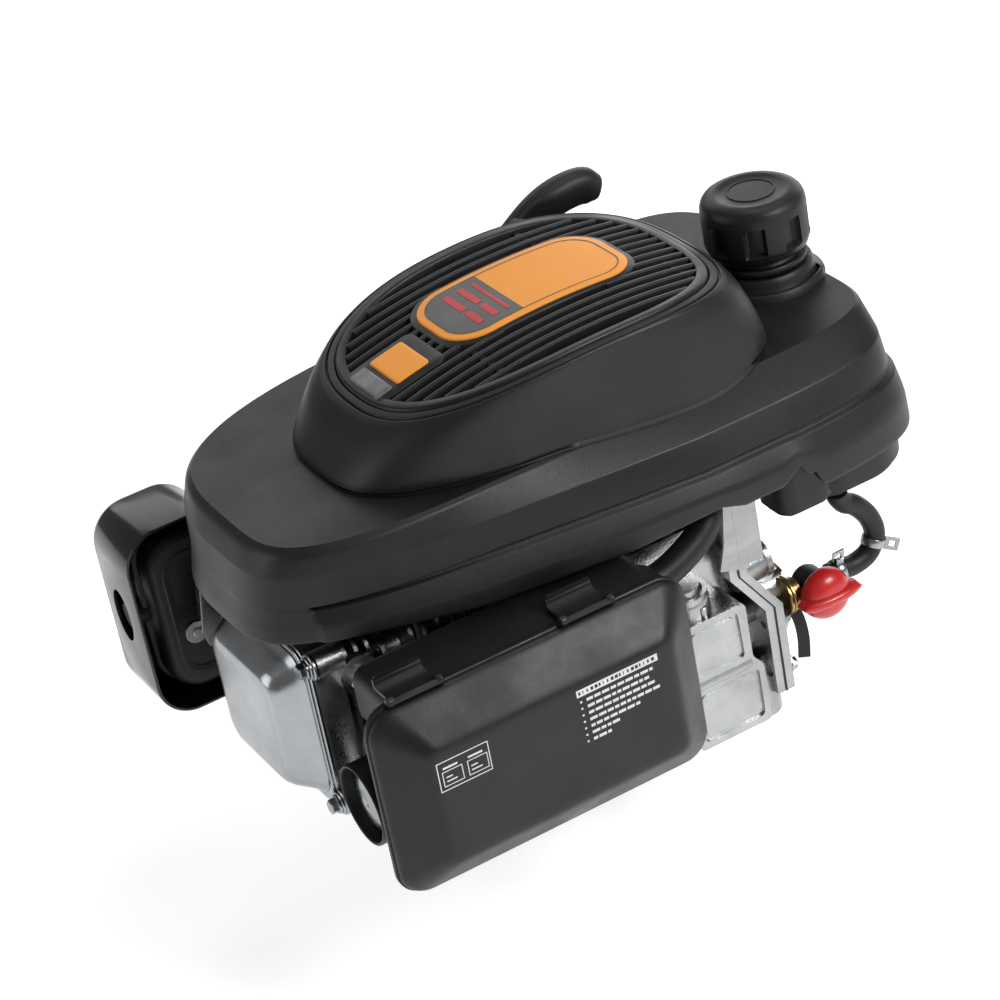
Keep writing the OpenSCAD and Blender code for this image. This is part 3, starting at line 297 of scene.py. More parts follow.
def frames_along(path):
    """A side and an up vector at each point of a path, carried along without twist."""
    n = len(path)
    heads = [(path[min(i + 1, n - 1)] - path[max(i - 1, 0)]).normalized() for i in range(n)]
    side = heads[0].cross(Vector((0, 0, 1)) if abs(heads[0].z) < 0.9 else Vector((1, 0, 0))).normalized()
    out = []
    for h in heads:
        side = (side - h * side.dot(h)).normalized()
        out.append((side, h.cross(side)))
    return out


def tube(path, radius, sides=20):
    """A round tube; radius is a number or a function of the share of the way along."""
    n = len(path)
    rings = []
    for i, (p, (u, v)) in enumerate(zip(path, frames_along(path))):
        r = radius(i / (n - 1)) if callable(radius) else radius
        rings.append([tuple(p + u * (r * c) + v * (r * s)) for c, s in around(sides)])
    return loft(rings)


def strap(path, width, thick, across):
    """A flat strip of sheet along a path, its width along the vector across."""
    across = Vector(across).normalized()
    n = len(path)
    rings = []
    for i, p in enumerate(path):
        h = (path[min(i + 1, n - 1)] - path[max(i - 1, 0)]).normalized()
        up = h.cross(across).normalized()
        side = up.cross(h).normalized()
        rings.append([tuple(p + side * (a * width / 2) + up * (b * thick / 2))
            for a, b in ((-1, -1), (1, -1), (1, 1), (-1, 1))])
    return loft(rings)


def hex_bolt(r, length, point, direction):
    """A hexagon flange bolt; its head stands on point and faces along direction."""
    head = [(0, -length), (r, -length), (r, 0), (2.1 * r, 0), (2.1 * r, 0.9), (1.95 * r, 1.5)]
    flange = lathe(head + [(0, 1.5)], steps=24)
    hexa = [round_ring(q * 1.72 * r, 6, 0.3) for q in (1, 1, 0.9)]
    body = loft([[(x, y, z) for x, y in ring] for ring, z in zip(hexa, (1.2, 1.5 + 1.15 * r, 1.5 + 1.4 * r))])
    turn = Vector((0, 0, 1)).rotation_difference(Vector(direction)).to_matrix()
    return moved(turned(merged([flange, body]), turn), point)


def placed(name, data):
    obj = bpy.data.objects.new(name, data)
    bpy.context.scene.collection.objects.link(obj)
    return obj


def piece(name, part, body, finish, nodes=(), bevel=0.0, sharp=32):
    verts, faces = part
    data = bpy.data.meshes.new(name)
    data.from_pydata([tuple(c * MM for c in v) for v in verts], [], faces)
    bm = bmesh.new()
    bm.from_mesh(data)
    bmesh.ops.remove_doubles(bm, verts=bm.verts, dist=2e-6)
    loose = [f for f in bm.faces if f.calc_area() < 1e-13]
    bmesh.ops.delete(bm, geom=loose, context="FACES_ONLY")
    bmesh.ops.recalc_face_normals(bm, faces=bm.faces)
    bm.to_mesh(data)
    bm.free()
    data.polygons.foreach_set("use_smooth", [True] * len(data.polygons))
    data.materials.append(finish)
    obj = placed(name, data)
    finish_edges(obj, bevel, sharp)
    if body:
        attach(obj, body)
    if nodes:
        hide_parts(*nodes)
    return obj


def fixed(name, part, finish, nodes=(), **edges):
    """Adds a shape that stays on the engine itself."""
    return piece(name, part, "engine", finish, nodes, **edges)


def carved(part, tools):
    """A shape with other shapes cut out of it, still in millimetres."""
    made = []
    for verts, faces in (part, merged(tools)):
        data = bpy.data.meshes.new("carve")
        data.from_pydata([tuple(v) for v in verts], [], faces)
        bm = bmesh.new()
        bm.from_mesh(data)
        bmesh.ops.remove_doubles(bm, verts=bm.verts, dist=2e-3)
        bmesh.ops.recalc_face_normals(bm, faces=bm.faces)
        bm.to_mesh(data)
        bm.free()
        made.append(placed("carve", data))
    mod = made[0].modifiers.new("cut", "BOOLEAN")
    mod.object = made[1]
    mod.operation = "DIFFERENCE"
    mod.solver = "EXACT"
    bpy.context.view_layer.update()
    result = made[0].evaluated_get(bpy.context.evaluated_depsgraph_get()).to_mesh()
    out = [tuple(v.co) for v in result.vertices], [tuple(f.vertices) for f in result.polygons]
    for obj in made:
        data = obj.data
        bpy.data.objects.remove(obj)
        bpy.data.meshes.remove(data)
    return out


def finish_edges(obj, width, angle, segments=2):
    """Rounds the edges sharper than angle, or, with no width, only shades them sharp."""
    if not width:
        obj.data.set_sharp_from_angle(angle=math.radians(angle))
        return
    mod = obj.modifiers.new("edges", "BEVEL")
    mod.width = width * MM
    mod.segments = segments
    mod.limit_method = "ANGLE"
    mod.angle_limit = math.radians(angle)
    mod.use_clamp_overlap = True
    mod.harden_normals = True
    mod.miter_outer = "MITER_ARC"


def refine(node, width, angle, segments=2):
    """A copy of a CAD node with its faces joined up and its edges rounded, shown in its place."""
    cad = frame["nodes"][node]
    data = cad.data.copy()
    data.name = node + "_shape"
    bm = bmesh.new()
    bm.from_mesh(data)
    bmesh.ops.remove_doubles(bm, verts=bm.verts, dist=3e-6)
    bmesh.ops.dissolve_limit(bm, angle_limit=math.radians(0.6), verts=bm.verts, edges=bm.edges)
    bm.to_mesh(data)
    bm.free()
    if "custom_normal" in data.attributes:
        data.attributes.remove(data.attributes["custom_normal"])
    data.polygons.foreach_set("use_smooth", [True] * len(data.polygons))
    data.materials.clear()
    data.materials.append(FINISH[SLOT_OF[node]])
    obj = placed(node + "_shape", data)
    finish_edges(obj, width, angle, segments)
    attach(obj, BODY_OF[node])
    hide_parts(node)


# ---------------------------------------------------------------- top cover

SKIRT, DECK = 172.0, 226.0
HEAD, TAIL = -219.0, 200.0
WALL = 3
COUNT = 288


def mix(a, b, s):
    return a + (b - a) * s


def ease(v, low, high):
    t = max(0.0, min(1.0, (v - low) / (high - low)))
    return t * t * (3 - 2 * t)


def outline(z, x0, x1, half, taper, n):
    """A level superellipse from x0 to x1 whose half width grows along X by taper."""
    out = []
    for c, s in around(COUNT):
        x = (x0 + x1) / 2 + (x1 - x0) / 2 * rise(c, 2 / n)
        out.append((x, (half + taper * x) * rise(s, 2 / n), z))
    return out


def lowering(x, near):
    """How far the skirt's lower edge has dropped, from 0 to 1 at the tank end."""
    head = 0.35 * min(max((x + 160) / 60, 0), 1) if near else 0.0
    return mix(head, 1, ease(x, 94, 104))


def wall_ring(z, x0, x1, near, taper, far, n_far, drop=0.0):
    """The cover's outline; the side towards the air cleaner is narrower than the far side."""
    out = []
    for c, s in around(COUNT):
        n = (n_far if c < 0 else 6) if s > 0 else (4.4 if c < 0 else 5.6)
        x = (x0 + x1) / 2 + (x1 - x0) / 2 * rise(c, 2 / n)
        half = far + 0.07 * x if s > 0 else near + taper * min(x, 35)
        out.append((x, half * rise(s, 2 / n), z - drop * lowering(x, s < 0)))
    return out


# height, head end, tank end, near half width and its taper, far half width, roundness of the far corner, drop
BAND = [
    (SKIRT, HEAD + 0.6, TAIL - 0.2, 110, 0.13, 133.4, 2.65, 17),
    (SKIRT + 1.2, HEAD + 0.5, TAIL - 0.1, 110.4, 0.13, 133.8, 2.65, 16.6),
    (SKIRT + 7.8, HEAD + 1.4, TAIL - 0.8, 110.0, 0.13, 133.8, 2.65, 8.6),
    (SKIRT + 10.5, HEAD + 2, TAIL - 1.4, 109.0, 0.13, 133.4, 2.65, 6.4),
    (SKIRT + 17.6, HEAD + 3.6, TAIL - 3.4, 104.8, 0.13, 133, 2.65, 1.4),
    (SKIRT + 18.6, HEAD + 4.4, TAIL - 6.4, 102.0, 0.13, 132.6, 2.65, 0.8),
    (SKIRT + 20.0, HEAD + 4.6, TAIL - 6.9, 101.2, 0.13, 132.4, 2.65, 0),
    (SKIRT + 21.2, HEAD + 4.6, TAIL - 6.4, 102.0, 0.13, 132.4, 2.65, 0),
    (DECK - 15.6, HEAD + 8, TAIL - 7.4, 96.8, 0.10, 131.4, 3.0, 0),
    (DECK - 1.6, HEAD + 15, TAIL - 8.4, 81.6, 0.01, 128.6, 3.3, 0),
    (DECK, HEAD + 17.4, TAIL - 10.5, 79.4, 0.01, 126.4, 3.3, 0),
]
PLAIN = [
    (SKIRT, HEAD + 0.6, TAIL - 0.2, 106.8, 0.13, 133.4, 2.65, 17),
    (SKIRT + 1.2, HEAD + 0.5, TAIL - 0.1, 107.2, 0.13, 133.8, 2.65, 16.6),
    (SKIRT + 7.8, HEAD + 1.8, TAIL - 0.8, 107.4, 0.13, 133.6, 2.65, 8.6),
    (SKIRT + 10.5, HEAD + 2.5, TAIL - 1.4, 107.2, 0.13, 133.4, 2.65, 6.4),
    (SKIRT + 17.6, HEAD + 3.9, TAIL - 3.4, 106.6, 0.13, 133, 2.65, 1.4),
    (SKIRT + 18.6, HEAD + 4.0, TAIL - 6.4, 106.4, 0.13, 132.6, 2.65, 0.8),
    (SKIRT + 20.0, HEAD + 4.2, TAIL - 6.9, 106.1, 0.13, 132.4, 2.65, 0),
    (SKIRT + 21.2, HEAD + 4.4, TAIL - 6.4, 105.9, 0.13, 132.4, 2.65, 0),
    (DECK - 15.6, HEAD + 8, TAIL - 7.4, 99.8, 0.10, 131.4, 3.0, 0),
    (DECK - 3.2, HEAD + 14, TAIL - 8.4, 90.6, 0.05, 128.6, 3.3, 0),
    (DECK, HEAD + 18, TAIL - 10.5, 86.4, 0.05, 126.0, 3.3, 0),
]
REACH = [0, 0.6, 0.9, 1.2, 0.4, 0.4, 0.4, 0.4, 0.8, 0.9, 0]


def cover_ring(band, plain):
    """One ring of the cover: the plain wall at the head end runs into the wall with the raised band."""
    a, b = wall_ring(*band), wall_ring(*plain)
    out = []
    for p, q in zip(a, b):
        s = ease(p[0], -190.5, -187.5) if band[0] < SKIRT + 21 else ease(p[0], -192, -60)
        out.append(tuple(mix(v, w, s) for v, w in zip(q, p)))
    return out


NOTCH_FADE = 16.0
# middle, half width and height of each opening
NOTCHES = ((101.0, 9.0, 11.0), (42.0, 10.0, 5.0))


def notched(ring, level=SKIRT):
    """Lifts a ring drawn at the given level at the two openings in the near side, the lower edge most."""
    share = max(0.0, 1 - (level - SKIRT) / NOTCH_FADE)
    out = []
    for x, y, z in ring:
        up = 0.0
        if y < -60:
            for middle, half, height in NOTCHES:
                up = max(up, height * (1 - ease(abs(x - middle), half - 2.5, half + 2.5)))
        out.append((x, y, z + up * share))
    return out


def sunk(row):
    """A row of the cover's outside, moved in by the wall's thickness."""
    z, x0, x1, near, taper, far, n_far, drop = row
    return z - WALL * 0.9, x0 + WALL, x1 - WALL, near - WALL, taper, far - WALL, n_far, drop


rings = []
for b, p in zip(soften(BAND, REACH, 3), soften(PLAIN, REACH[:9] + [3.6, 0], 3)):
    rings.append(notched(cover_ring(b, p), b[0]))
hole = outline(DECK, -128, 114, 72, 0.06, 3.2)
rings += [hole, [(x, y, z - WALL) for x, y, z in hole]]
for b, p in reversed(list(zip(BAND[1:], PLAIN[1:]))):
    b, p = sunk(b), sunk(p)
    if b[0] > SKIRT + WALL:
        rings.append(notched(cover_ring(b, p), b[0]))
edge = cover_ring(sunk(BAND[0]), sunk(PLAIN[0]))
rings.append(notched([(x, y, z + 2.7) for x, y, z in edge]))
fixed("cover_shell", loft(rings, loop=True), COVER, ["top_cover"], sharp=24)

CAP = (162.0, 6.0)
collar = [(24.2, DECK - 2), (37, DECK - 0.6), (36.4, DECK + 0.9), (33.6, DECK + 1.6), (32.2, DECK + 3.4),
    (31, DECK + 8.6), (30.4, DECK + 10.6), (29.4, DECK + 11.9), (26.6, DECK + 11.9), (25.4, DECK + 10.6),
    (24.2, DECK + 10.4), (24.2, DECK - 2)]
fixed("cover_collar", lathe(collar, centre=(*CAP, 0), steps=64), COVER, sharp=40)
# Lip that stands round the neck on the near side and runs out over the tank end
lip = []
for k in range(33):
    a = math.radians(mix(165, 395, k / 32))
    r = mix(34.5, 42, ease(k, 16, 32))
    h = 5.2 * min(1.0, ease(k, 0, 5), ease(32 - k, 0, 4))
    c, s = math.cos(a), math.sin(a)
    rows = ((-1.9, -1.5), (-1.7, h - 0.8), (-0.9, h), (0.8, h), (1.7, h - 0.8), (2.6, -1.5))
    lip.append([(CAP[0] + (r + d) * c, CAP[1] + (r + d) * s, DECK + z) for d, z in rows])
lip = [[(min(x, TAIL - 12), y, z) for x, y, z in ring] for ring in lip]
fixed("cover_lip", loft(lip), COVER, sharp=50)

# ---------------------------------------------------------------- starter dome

DOME_Z, CROWN_R, CROWN_X = 281.5, 450.0, 20.0
DOME_RX, DOME_RY, DOME_X, DOME_Y = 135.0, 88.0, -7.0, 4.0


def crown(x):
    return DOME_Z - CROWN_R + math.sqrt(CROWN_R ** 2 - (x - CROWN_X) ** 2)


def dome_plan(s, inset):
    x0 = mix(DOME_X - DOME_RX, DOME_X - DOME_RX + 27, s) + inset
    x1 = mix(DOME_X + DOME_RX, DOME_X + DOME_RX - 15, s) - inset
    out = []
    for c, q in around(COUNT):
        n = mix(3.2, 2.54, s) if c < 0 else mix(3.6, 2.95, s)
        x = (x0 + x1) / 2 + (x1 - x0) / 2 * rise(c, 2 / n)
        out.append((x, (DOME_RY - 0.5 * s - inset + mix(0.1, 0.02, s) * x) * rise(q, 2 / n) + DOME_Y, 0))
    return out


def dome_ring(s, up, inset, drop):
    """The foot follows the near shoulder of the cover where it reaches past the deck."""
    return [(x, y, mix(DECK + 0.4 - 0.9 * max(0.0, -y - 80.4), crown(x) - 2, up) - drop)
        for x, y, z in dome_plan(s, inset)]


# share of the way in plan, share in height, inset, drop
dome_rows = [(0, 0, 0.2, 0), (0, 0.025, 0.2, 0), (0.0, 0.03, 1.6, 0), (0.0, 0.065, 1.6, 0),
    (0.01, 0.075, 0.3, 0), (0.06, 0.22, 0, 0), (0.3, 0.55, 0, 0), (0.6, 0.83, 0, 0), (0.9, 0.975, 0, 0),
    (1, 1, 0.6, 0), (1, 1, 1.3, 0.1), (1, 1, 1.6, 1.4), (1, 1, 2.4, 1.4), (1, 1, 2.8, -0.4),
    (1, 1, 6.2, -0.7), (1, 1, 6.9, -0.2), (1, 1, 7, 1.2),]
dome_reach = [0, 0.01, 0.012, 0.012, 0.02, 0.16, 0.22, 0.16, 0.1, 0.2, 0.2, 0.2, 0.2, 0.3, 0.3, 0.4, 0]
rings = [dome_ring(*r) for r in soften(dome_rows, dome_reach, 4)]
rings += [dome_ring(1, 1, 7, 9), dome_ring(1, 1, 10, 9), dome_ring(0.6, 0.83, 3, 3),
    dome_ring(0.3, 0.55, 3, 3), dome_ring(0.05, 0.1, 3, 3), dome_ring(0, 0, 3, 0)]
fixed("dome_shell", loft(rings, loop=True), COVER, ["starter_housing"], sharp=42)

# Grille: a rim, ribs along X and the plates that carry the badges
BADGE = (9.0, 13.0)
PITCH, RIB_WIDTH = 9.0, 3.7
GAP = 4.0
FOOT_Z, BEAM_Z = -8.4, -2.2
RIM_INSET = 13
# the ribs stop short of the badge plate and the label plate
CLEAR_X, CLEAR_Y, CLEAR_R = 64.0, 37, 29
LABEL_Y, LABEL_END = (-21, 27), -62


def on_crown(part):
    """Bends a flat part, drawn about z = 0, over the crown."""
    return [(x, y, z + crown(x)) for x, y, z in part[0]], part[1]


def half_width(x, inset):
    """Half the width of the grille's outline at x."""
    rx = 114 - inset
    n = 2.54 if x < -1 else 2.95
    t = min(1.0, abs(x + 1) / rx)
    return (DOME_RY - 0.5 + 0.02 * x - inset) * (1 - t ** n) ** (1 / n)


def ends(y, inset):
    """Where a line along X at y enters and leaves the grille's outline."""
    low, high = -1.0, -1.0
    while abs(y - DOME_Y) < half_width(low - 0.5, inset):
        low -= 0.5
    while abs(y - DOME_Y) < half_width(high + 0.5, inset):
        high += 0.5
    return low, high


rim_rows = [(7.4, -8), (7.4, -1.0), (8.0, -0.2), (9.0, 0), (12.4, 0), (13.2, -0.3), (13.7, -1.2), (14.0, -8)]
rim = loft([[(x, y, h) for x, y, z in dome_plan(1, inset)] for inset, h in rim_rows], loop=True)
fixed("grille_rim", on_crown(rim), RIB, ["grille"], sharp=40)
under = loft([[(x, y, h) for x, y, z in dome_plan(1, 10)] for h in (-11.4, -10.2)])
fixed("grille_floor", on_crown(under), RIB)


def bar_along(x0, x1, section, least):
    """A bar along X with the given section, cut into steps so that it can bend over the crown."""
    steps = max(least, int(abs(x1 - x0) / 8))
    return loft([[(mix(x0, x1, k / steps), a, b) for a, b in section] for k in range(steps + 1)])


def rib(x0, x1, y):
    """One louvre over the crown, rounded along its upper edges."""
    w = RIB_WIDTH / 2
    section = [(-w, FOOT_Z), (w, FOOT_Z), (w - 0.1, -1.2), (w - 0.5, -0.4), (w - 1.2, -0.1), (-w + 1.2, -0.1),
        (-w + 0.5, -0.4), (-w + 0.1, -1.2)]
    return bar_along(x0, x1, [(y + a, b) for a, b in section], 2)


def beam(x0, x1, y0, y1):
    """One cross bar, a little lower than the louvres."""
    high = BEAM_Z
    section = [(y0, FOOT_Z), (y1, FOOT_Z), (y1, high - 0.6), (y1 - 0.6, high), (y0 + 0.6, high),
        (y0, high - 0.6)]
    return bar_along(x0, x1, section, 1)


ribs = []
for k in range(-9, 10):
    y = BADGE[1] + PITCH * k
    if abs(y - DOME_Y) > half_width(-1, 14) - 4:
        continue
    x0, x1 = ends(y, RIM_INSET)
    off = abs(y - BADGE[1])
    if off > CLEAR_Y:
        ribs.append(rib(x0, x1, y))
        continue
    bulge = CLEAR_X - (CLEAR_R - math.sqrt(max(0.0, CLEAR_R ** 2 - max(0.0, off - 7) ** 2)))
    ribs.append(rib(BADGE[0] + bulge - 1, x1, y))
    left = BADGE[0] - bulge + 1
    if LABEL_Y[0] < y < LABEL_Y[1]:
        x0 = LABEL_END
    if left > x0 + 3:
        ribs.append(rib(x0, left, y))
for x in (-46, 86):
    near = DOME_Y - half_width(x, RIM_INSET)
    ribs.append(beam(x - 1.8, x + 1.8, near, BADGE[1] - (30 if x < 0 else 22)))
ribs.append(beam(40, 43.6, BADGE[1] + 34, DOME_Y + half_width(42, RIM_INSET)))
fixed("grille_ribs", on_crown(merged(ribs)), RIB, sharp=30)


def dense(ring):
    """The same outline with extra points on its long straights, so that it can bend over the crown."""
    out = []
    for i, p in enumerate(ring):
        q = ring[(i + 1) % len(ring)]
        d = math.hypot(q[0] - p[0], q[1] - p[1])
        steps = max(1, int(d / GAP))
        out += [(mix(p[0], q[0], k / steps), mix(p[1], q[1], k / steps)) for k in range(steps)]
    return out


def tile(w, h, r, centre, levels):
    """A plate with rounded corners laid over the crown; levels are (grow, height) from foot to top."""
    base = dense(oblong(w, h, r, 12))
    rings = []
    for grow, high in levels:
        ring = []
        for x, y in base:
            d = math.hypot(x, y)
            ring.append((x * (1 + grow / max(d, 1)) + centre[0], y * (1 + grow / max(d, 1)) + centre[1],
                high))
        rings.append(ring)
    grid = []
    for share in (0.75, 0.5, 0.25, 0.02):
        grid.append([(centre[0] + (x - centre[0]) * share, centre[1] + (y - centre[1]) * share, levels[-1][1])
            for x, y, z in rings[-1]])
    return loft(rings + grid)


BLOCK = [(0, FOOT_Z), (0, -1.2), (-0.5, -0.3), (-1.3, 0)]
for name, w, h, r, centre in (("badge_plate", 130, 74, 26, BADGE), ("label_plate", 46, 44, 5, (-82, 3))):
    fixed(name, on_crown(tile(w, h, r, centre, BLOCK)), RIB)
EDGE = [(0, 0), (0, 0.75), (-0.35, 1.1), (-1.0, 1.25)]
fixed("badge_film", on_crown(tile(122, 66, 23, BADGE, EDGE)), ORANGE, ["badges"], sharp=50)
fixed("label_film", on_crown(tile(22, 33, 2, (-79, 3), EDGE)), ORANGE, sharp=50)
fixed("label_strip", on_crown(tile(11, 34, 2, (-98.5, 3), [(0, 0), (0, 0.6), (-0.4, 0.9)])), SILVER, sharp=50)


def band_line(w, h, r, centre, width, low, high):
    """A thin raised outline with rounded corners."""
    base = dense(oblong(w, h, r, 12))
    rings = []
    for grow, z in ((0, low), (0, high), (-width, high), (-width, low)):
        rings.append([(centre[0] + x * (1 + grow / math.hypot(x, y)), centre[1]
            + y * (1 + grow / math.hypot(x, y)), z) for x, y in base])
    return loft(rings, loop=True)


fixed("badge_line", on_crown(band_line(113, 57, 19, BADGE, 0.9, 1.0, 1.42)), DARK)


def half_panel(w, h, r, centre, cut, low, high):
    """The head-end part of a rounded oblong, as far as x = cut."""
    ring = [(min(x + centre[0], cut), y + centre[1]) for x, y in dense(oblong(w, h, r, 12))]
    middle = (cut - 22, centre[1])
    rings = [[(x, y, z) for x, y in ring] for z in (low, high)]
    rings += [[(mix(x, middle[0], s), mix(y, middle[1], s), high) for x, y in ring] for s in (0.3, 0.6, 0.97)]
    return loft(rings)


fixed("badge_panel", on_crown(half_panel(111, 55, 18, BADGE, -6.0, 1.0, 1.4)), DARK)
# Plain red bars in the place of the printed figures
bars = []
for y0, y1, x0, x1 in ((-8, 8, -32, -27.5), (12, 34, -32, -27.5), (12, 34, -22, -17.5), (-8, 8, -22, -17.5),
        (-8, 34, -12.6, -10.4)):
    bars.append(box([x0, x1], [y0, y1], [1.2, 1.62]))
fixed("badge_bars", on_crown(merged(bars)), MARK_RED)

# ---------------------------------------------------------------- filler cap

CAP_Z = 248.0
cap_profile = [(0, 9.4), (25, 9.4), (25, 0), (28.6, 0), (29.8, 0.8), (30.4, 2.4), (30.8, 4.0), (31.4, 5.0),
    (31.6, 7.0), (31.6, 13), (31.6, 19), (31.4, 24.5), (31, 28.2), (30, 31), (28.4, 33), (26.2, 34.3),
    (23.6, 34.9), (20, 34.9), (19.4, 34.5), (12, 34.6), (0, 34.7)]


def cap_at(r, z, a):
    """Eight recessed windows round the cap's side, deepest at their middle."""
    if r < 30 or not 4.5 < z < 28:
        return r
    near = abs((a + math.pi / 8) % (math.pi / 4) - math.pi / 8) * r
    side = 1 - ease(near, 5.6, 6.6)
    tall = ease(z, 5.4, 6.6) * (1 - ease(z, 22.0, 23.4))
    return r - 4.4 * side * tall


CAP_STEPS, CAP_TURN = 240, 0.2
rows = []
for (r0, z0), (r1, z1) in zip(cap_profile, cap_profile[1:]):
    parts = max(1, int(abs(z1 - z0) / 0.8)) if r0 > 30 else 1
    rows += [(mix(r0, r1, k / parts), mix(z0, z1, k / parts)) for k in range(parts)]
rows.append(cap_profile[-1])
rings = []
for r, z in rows:
    ring = []
    for k, (c, s) in enumerate(around(CAP_STEPS, CAP_TURN)):
        here = cap_at(r, z, 2 * math.pi * k / CAP_STEPS)
        ring.append((here * c + CAP[0], here * s + CAP[1], CAP_Z + z))
    rings.append(ring)
piece("filler_cap", loft(rings), "filler_cap", PLASTIC, ["fuel_cap"], sharp=55)
# A plain raised ring on the cap's top
piece("filler_cap_ring", lathe([(13.6, 34.2), (13.6, 35.0), (14.4, 35.0), (14.4, 34.2)], centre=(*CAP, CAP_Z),
    steps=64), "filler_cap", PLASTIC)
neck = [(19.5, 207), (23, 207), (23, DECK + 11.5), (24.6, DECK + 12.2), (27.4, DECK + 13), (28, DECK + 13.8),
    (28, DECK + 16.2), (27.4, DECK + 17), (24, DECK + 17), (23.3, DECK + 17.8), (23, DECK + 18.6),
    (24, DECK + 19.6), (24, DECK + 21.4), (23, DECK + 22.4), (23, DECK + 27.4), (22.4, DECK + 28),
    (20.2, DECK + 28), (19.5, DECK + 27.4), (19.5, 207)]
fixed("filler_neck_shape", lathe(neck, centre=(*CAP, 0), steps=64), PLASTIC, ["filler_neck"], sharp=45)

# ---------------------------------------------------------------- starter handle

grip_path = spline([(47, 115, 250.5), (54, 115, 254.5), (62, 115, 259.5), (73, 115, 264.8), (86, 115, 268.8),
    (98, 115, 270.8), (109, 115, 270.6), (118, 115, 267)], 7)
rings = []
n = len(grip_path)
for i, (p, (u, v)) in enumerate(zip(grip_path, frames_along(grip_path))):
    s = i / (n - 1)
    w = 7.6 + 2.0 * ease(s, 0.35, 0.7) - 1.6 * ease(s, 0.88, 1.0)
    h = 8.0 + 3.2 * ease(s, 0.2, 0.6) - 2.4 * ease(s, 0.9, 1.0)
    nose = math.sin(math.pi / 2 * min(1, s / 0.05 + 0.45))
    w *= nose
    h *= nose
    dent = 2.6 * ease(s, 0.1, 0.3) * (1 - ease(s, 0.42, 0.6))
    ring = []
    for c, q in around(36):
        x, y = rise(c, 0.8) * w - dent * max(0.0, c) ** 3, rise(q, 0.8) * h
        ring.append(tuple(p + u * x + v * y))
    rings.append(ring)
last = grip_path[-1]
heading = (last - grip_path[-2]).normalized()
for share, push in ((0.9, 1.6), (0.68, 2.6), (0.45, 1.4), (0.3, -0.8), (0.05, -1.2)):
    rings.append([tuple(last + (Vector(q) - last) * share + heading * push) for q in rings[n - 1]])
piece("grip_body", loft(rings), "recoil_handle", RUBBER, ["starter_handle"], sharp=70)
stem = [(5.4, -7.4), (7.6, -7.4), (8.6, -6.6), (8.8, -5), (8.2, -3), (7.4, 0), (7.2, 3)]
piece("grip_stem", lathe(stem, "y", (60, 108.5, 262), 32), "recoil_handle", RUBBER)
ROPE_R, STRAND = 1.85, 0.22
rope_path = spline([(48, 8, 248.5), (52, 30, 252), (57, 56, 258), (60, 82, 262), (60, 100.9, 262)], 16)
rings = []
for i, (p, (u, v)) in enumerate(zip(rope_path, frames_along(rope_path))):
    ring = []
    for k in range(24):
        a = 2 * math.pi * k / 24
        r = ROPE_R + STRAND * abs(math.sin(1.5 * a + i * 0.75))
        ring.append(tuple(p + u * (r * math.cos(a)) + v * (r * math.sin(a))))
    rings.append(ring)
rope = piece("starter_cord", loft(rings), None, ROPE, ["starter_rope"], sharp=80)
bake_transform(rope)

# ---------------------------------------------------------------- air cleaner

FX, FZ = -102.0, 101.0
FW, FH = 200.0, 120.0


def filter_at(inset):
    return [(x, y) for x, y in oblong(FW - 2 * inset, FH - 2 * inset, max(7, 17 - inset * 0.42), 10)]


out_rows = [(0, -132.4), (0, -139.2), (1.4, -141.4), (20.4, -157.6), (24.5, -159.8), (31, -159.8)]
out_rows = soften(out_rows, [0, 1.2, 2.4, 3.4, 3.2, 0], 5)
in_rows = [(27, -156.8), (24.5, -156.8), (19.6, -153.6), (3.2, -139.6), (3, -138), (3, -132.4)]
lid = pillow(filter_at, in_rows + out_rows, "y", (FX, 0, FZ))
piece("filter_lid", lid, "filter_cover", PLASTIC, ["air_cleaner_cover"], sharp=50)
# Thin step round the lid's rim
rows = [(-0.25, -133.4), (-0.9, -133.9), (-0.9, -136.2), (-0.25, -136.8), (0.6, -136.8), (0.6, -133.4)]
step = moved(loft([spin([(x, y, d) for x, y in oblong(FW - 2 * i, FH - 2 * i, 17, 10)], "y")
    for i, d in rows], loop=True), (FX, 0, FZ))
piece("filter_rim", step, "filter_cover", PLASTIC)


def base_at(x0, x1, z0, z1, r):
    return lambda inset: [(x + (x0 + x1) / 2 - FX, y + (z0 + z1) / 2 - FZ)
        for x, y in oblong(x1 - x0 - 2 * inset, z1 - z0 - 2 * inset, max(3, r - inset), 8)]


rim_plate = pillow(filter_at, [(32, -129), (1.6, -129), (1.2, -129.4), (1.2, -131.6), (1.6, -132),
    (4.6, -132), (4.6, -129.6), (32, -129.6)], "y", (FX, 0, FZ))
tray = pillow(base_at(-174.5, -3.5, 42.5, 159.5, 14), [(30, -111.4), (3, -111.4), (3, -131.9), (0, -131.9),
    (0, -112), (1.2, -109.6), (3.4, -109), (30, -109)], "y", (FX, 0, FZ))
back = pillow(base_at(-185, -11, 125, 161, 9), [(12, -90.4), (3, -90.4), (3, -131.8), (0, -131.8), (0, -91.4),
    (0.9, -88.9), (3, -88), (12, -88)], "y", (FX, 0, FZ))
fixed("filter_tray", merged([tray, back, rim_plate]), PLASTIC, ["air_cleaner_base"], sharp=50)

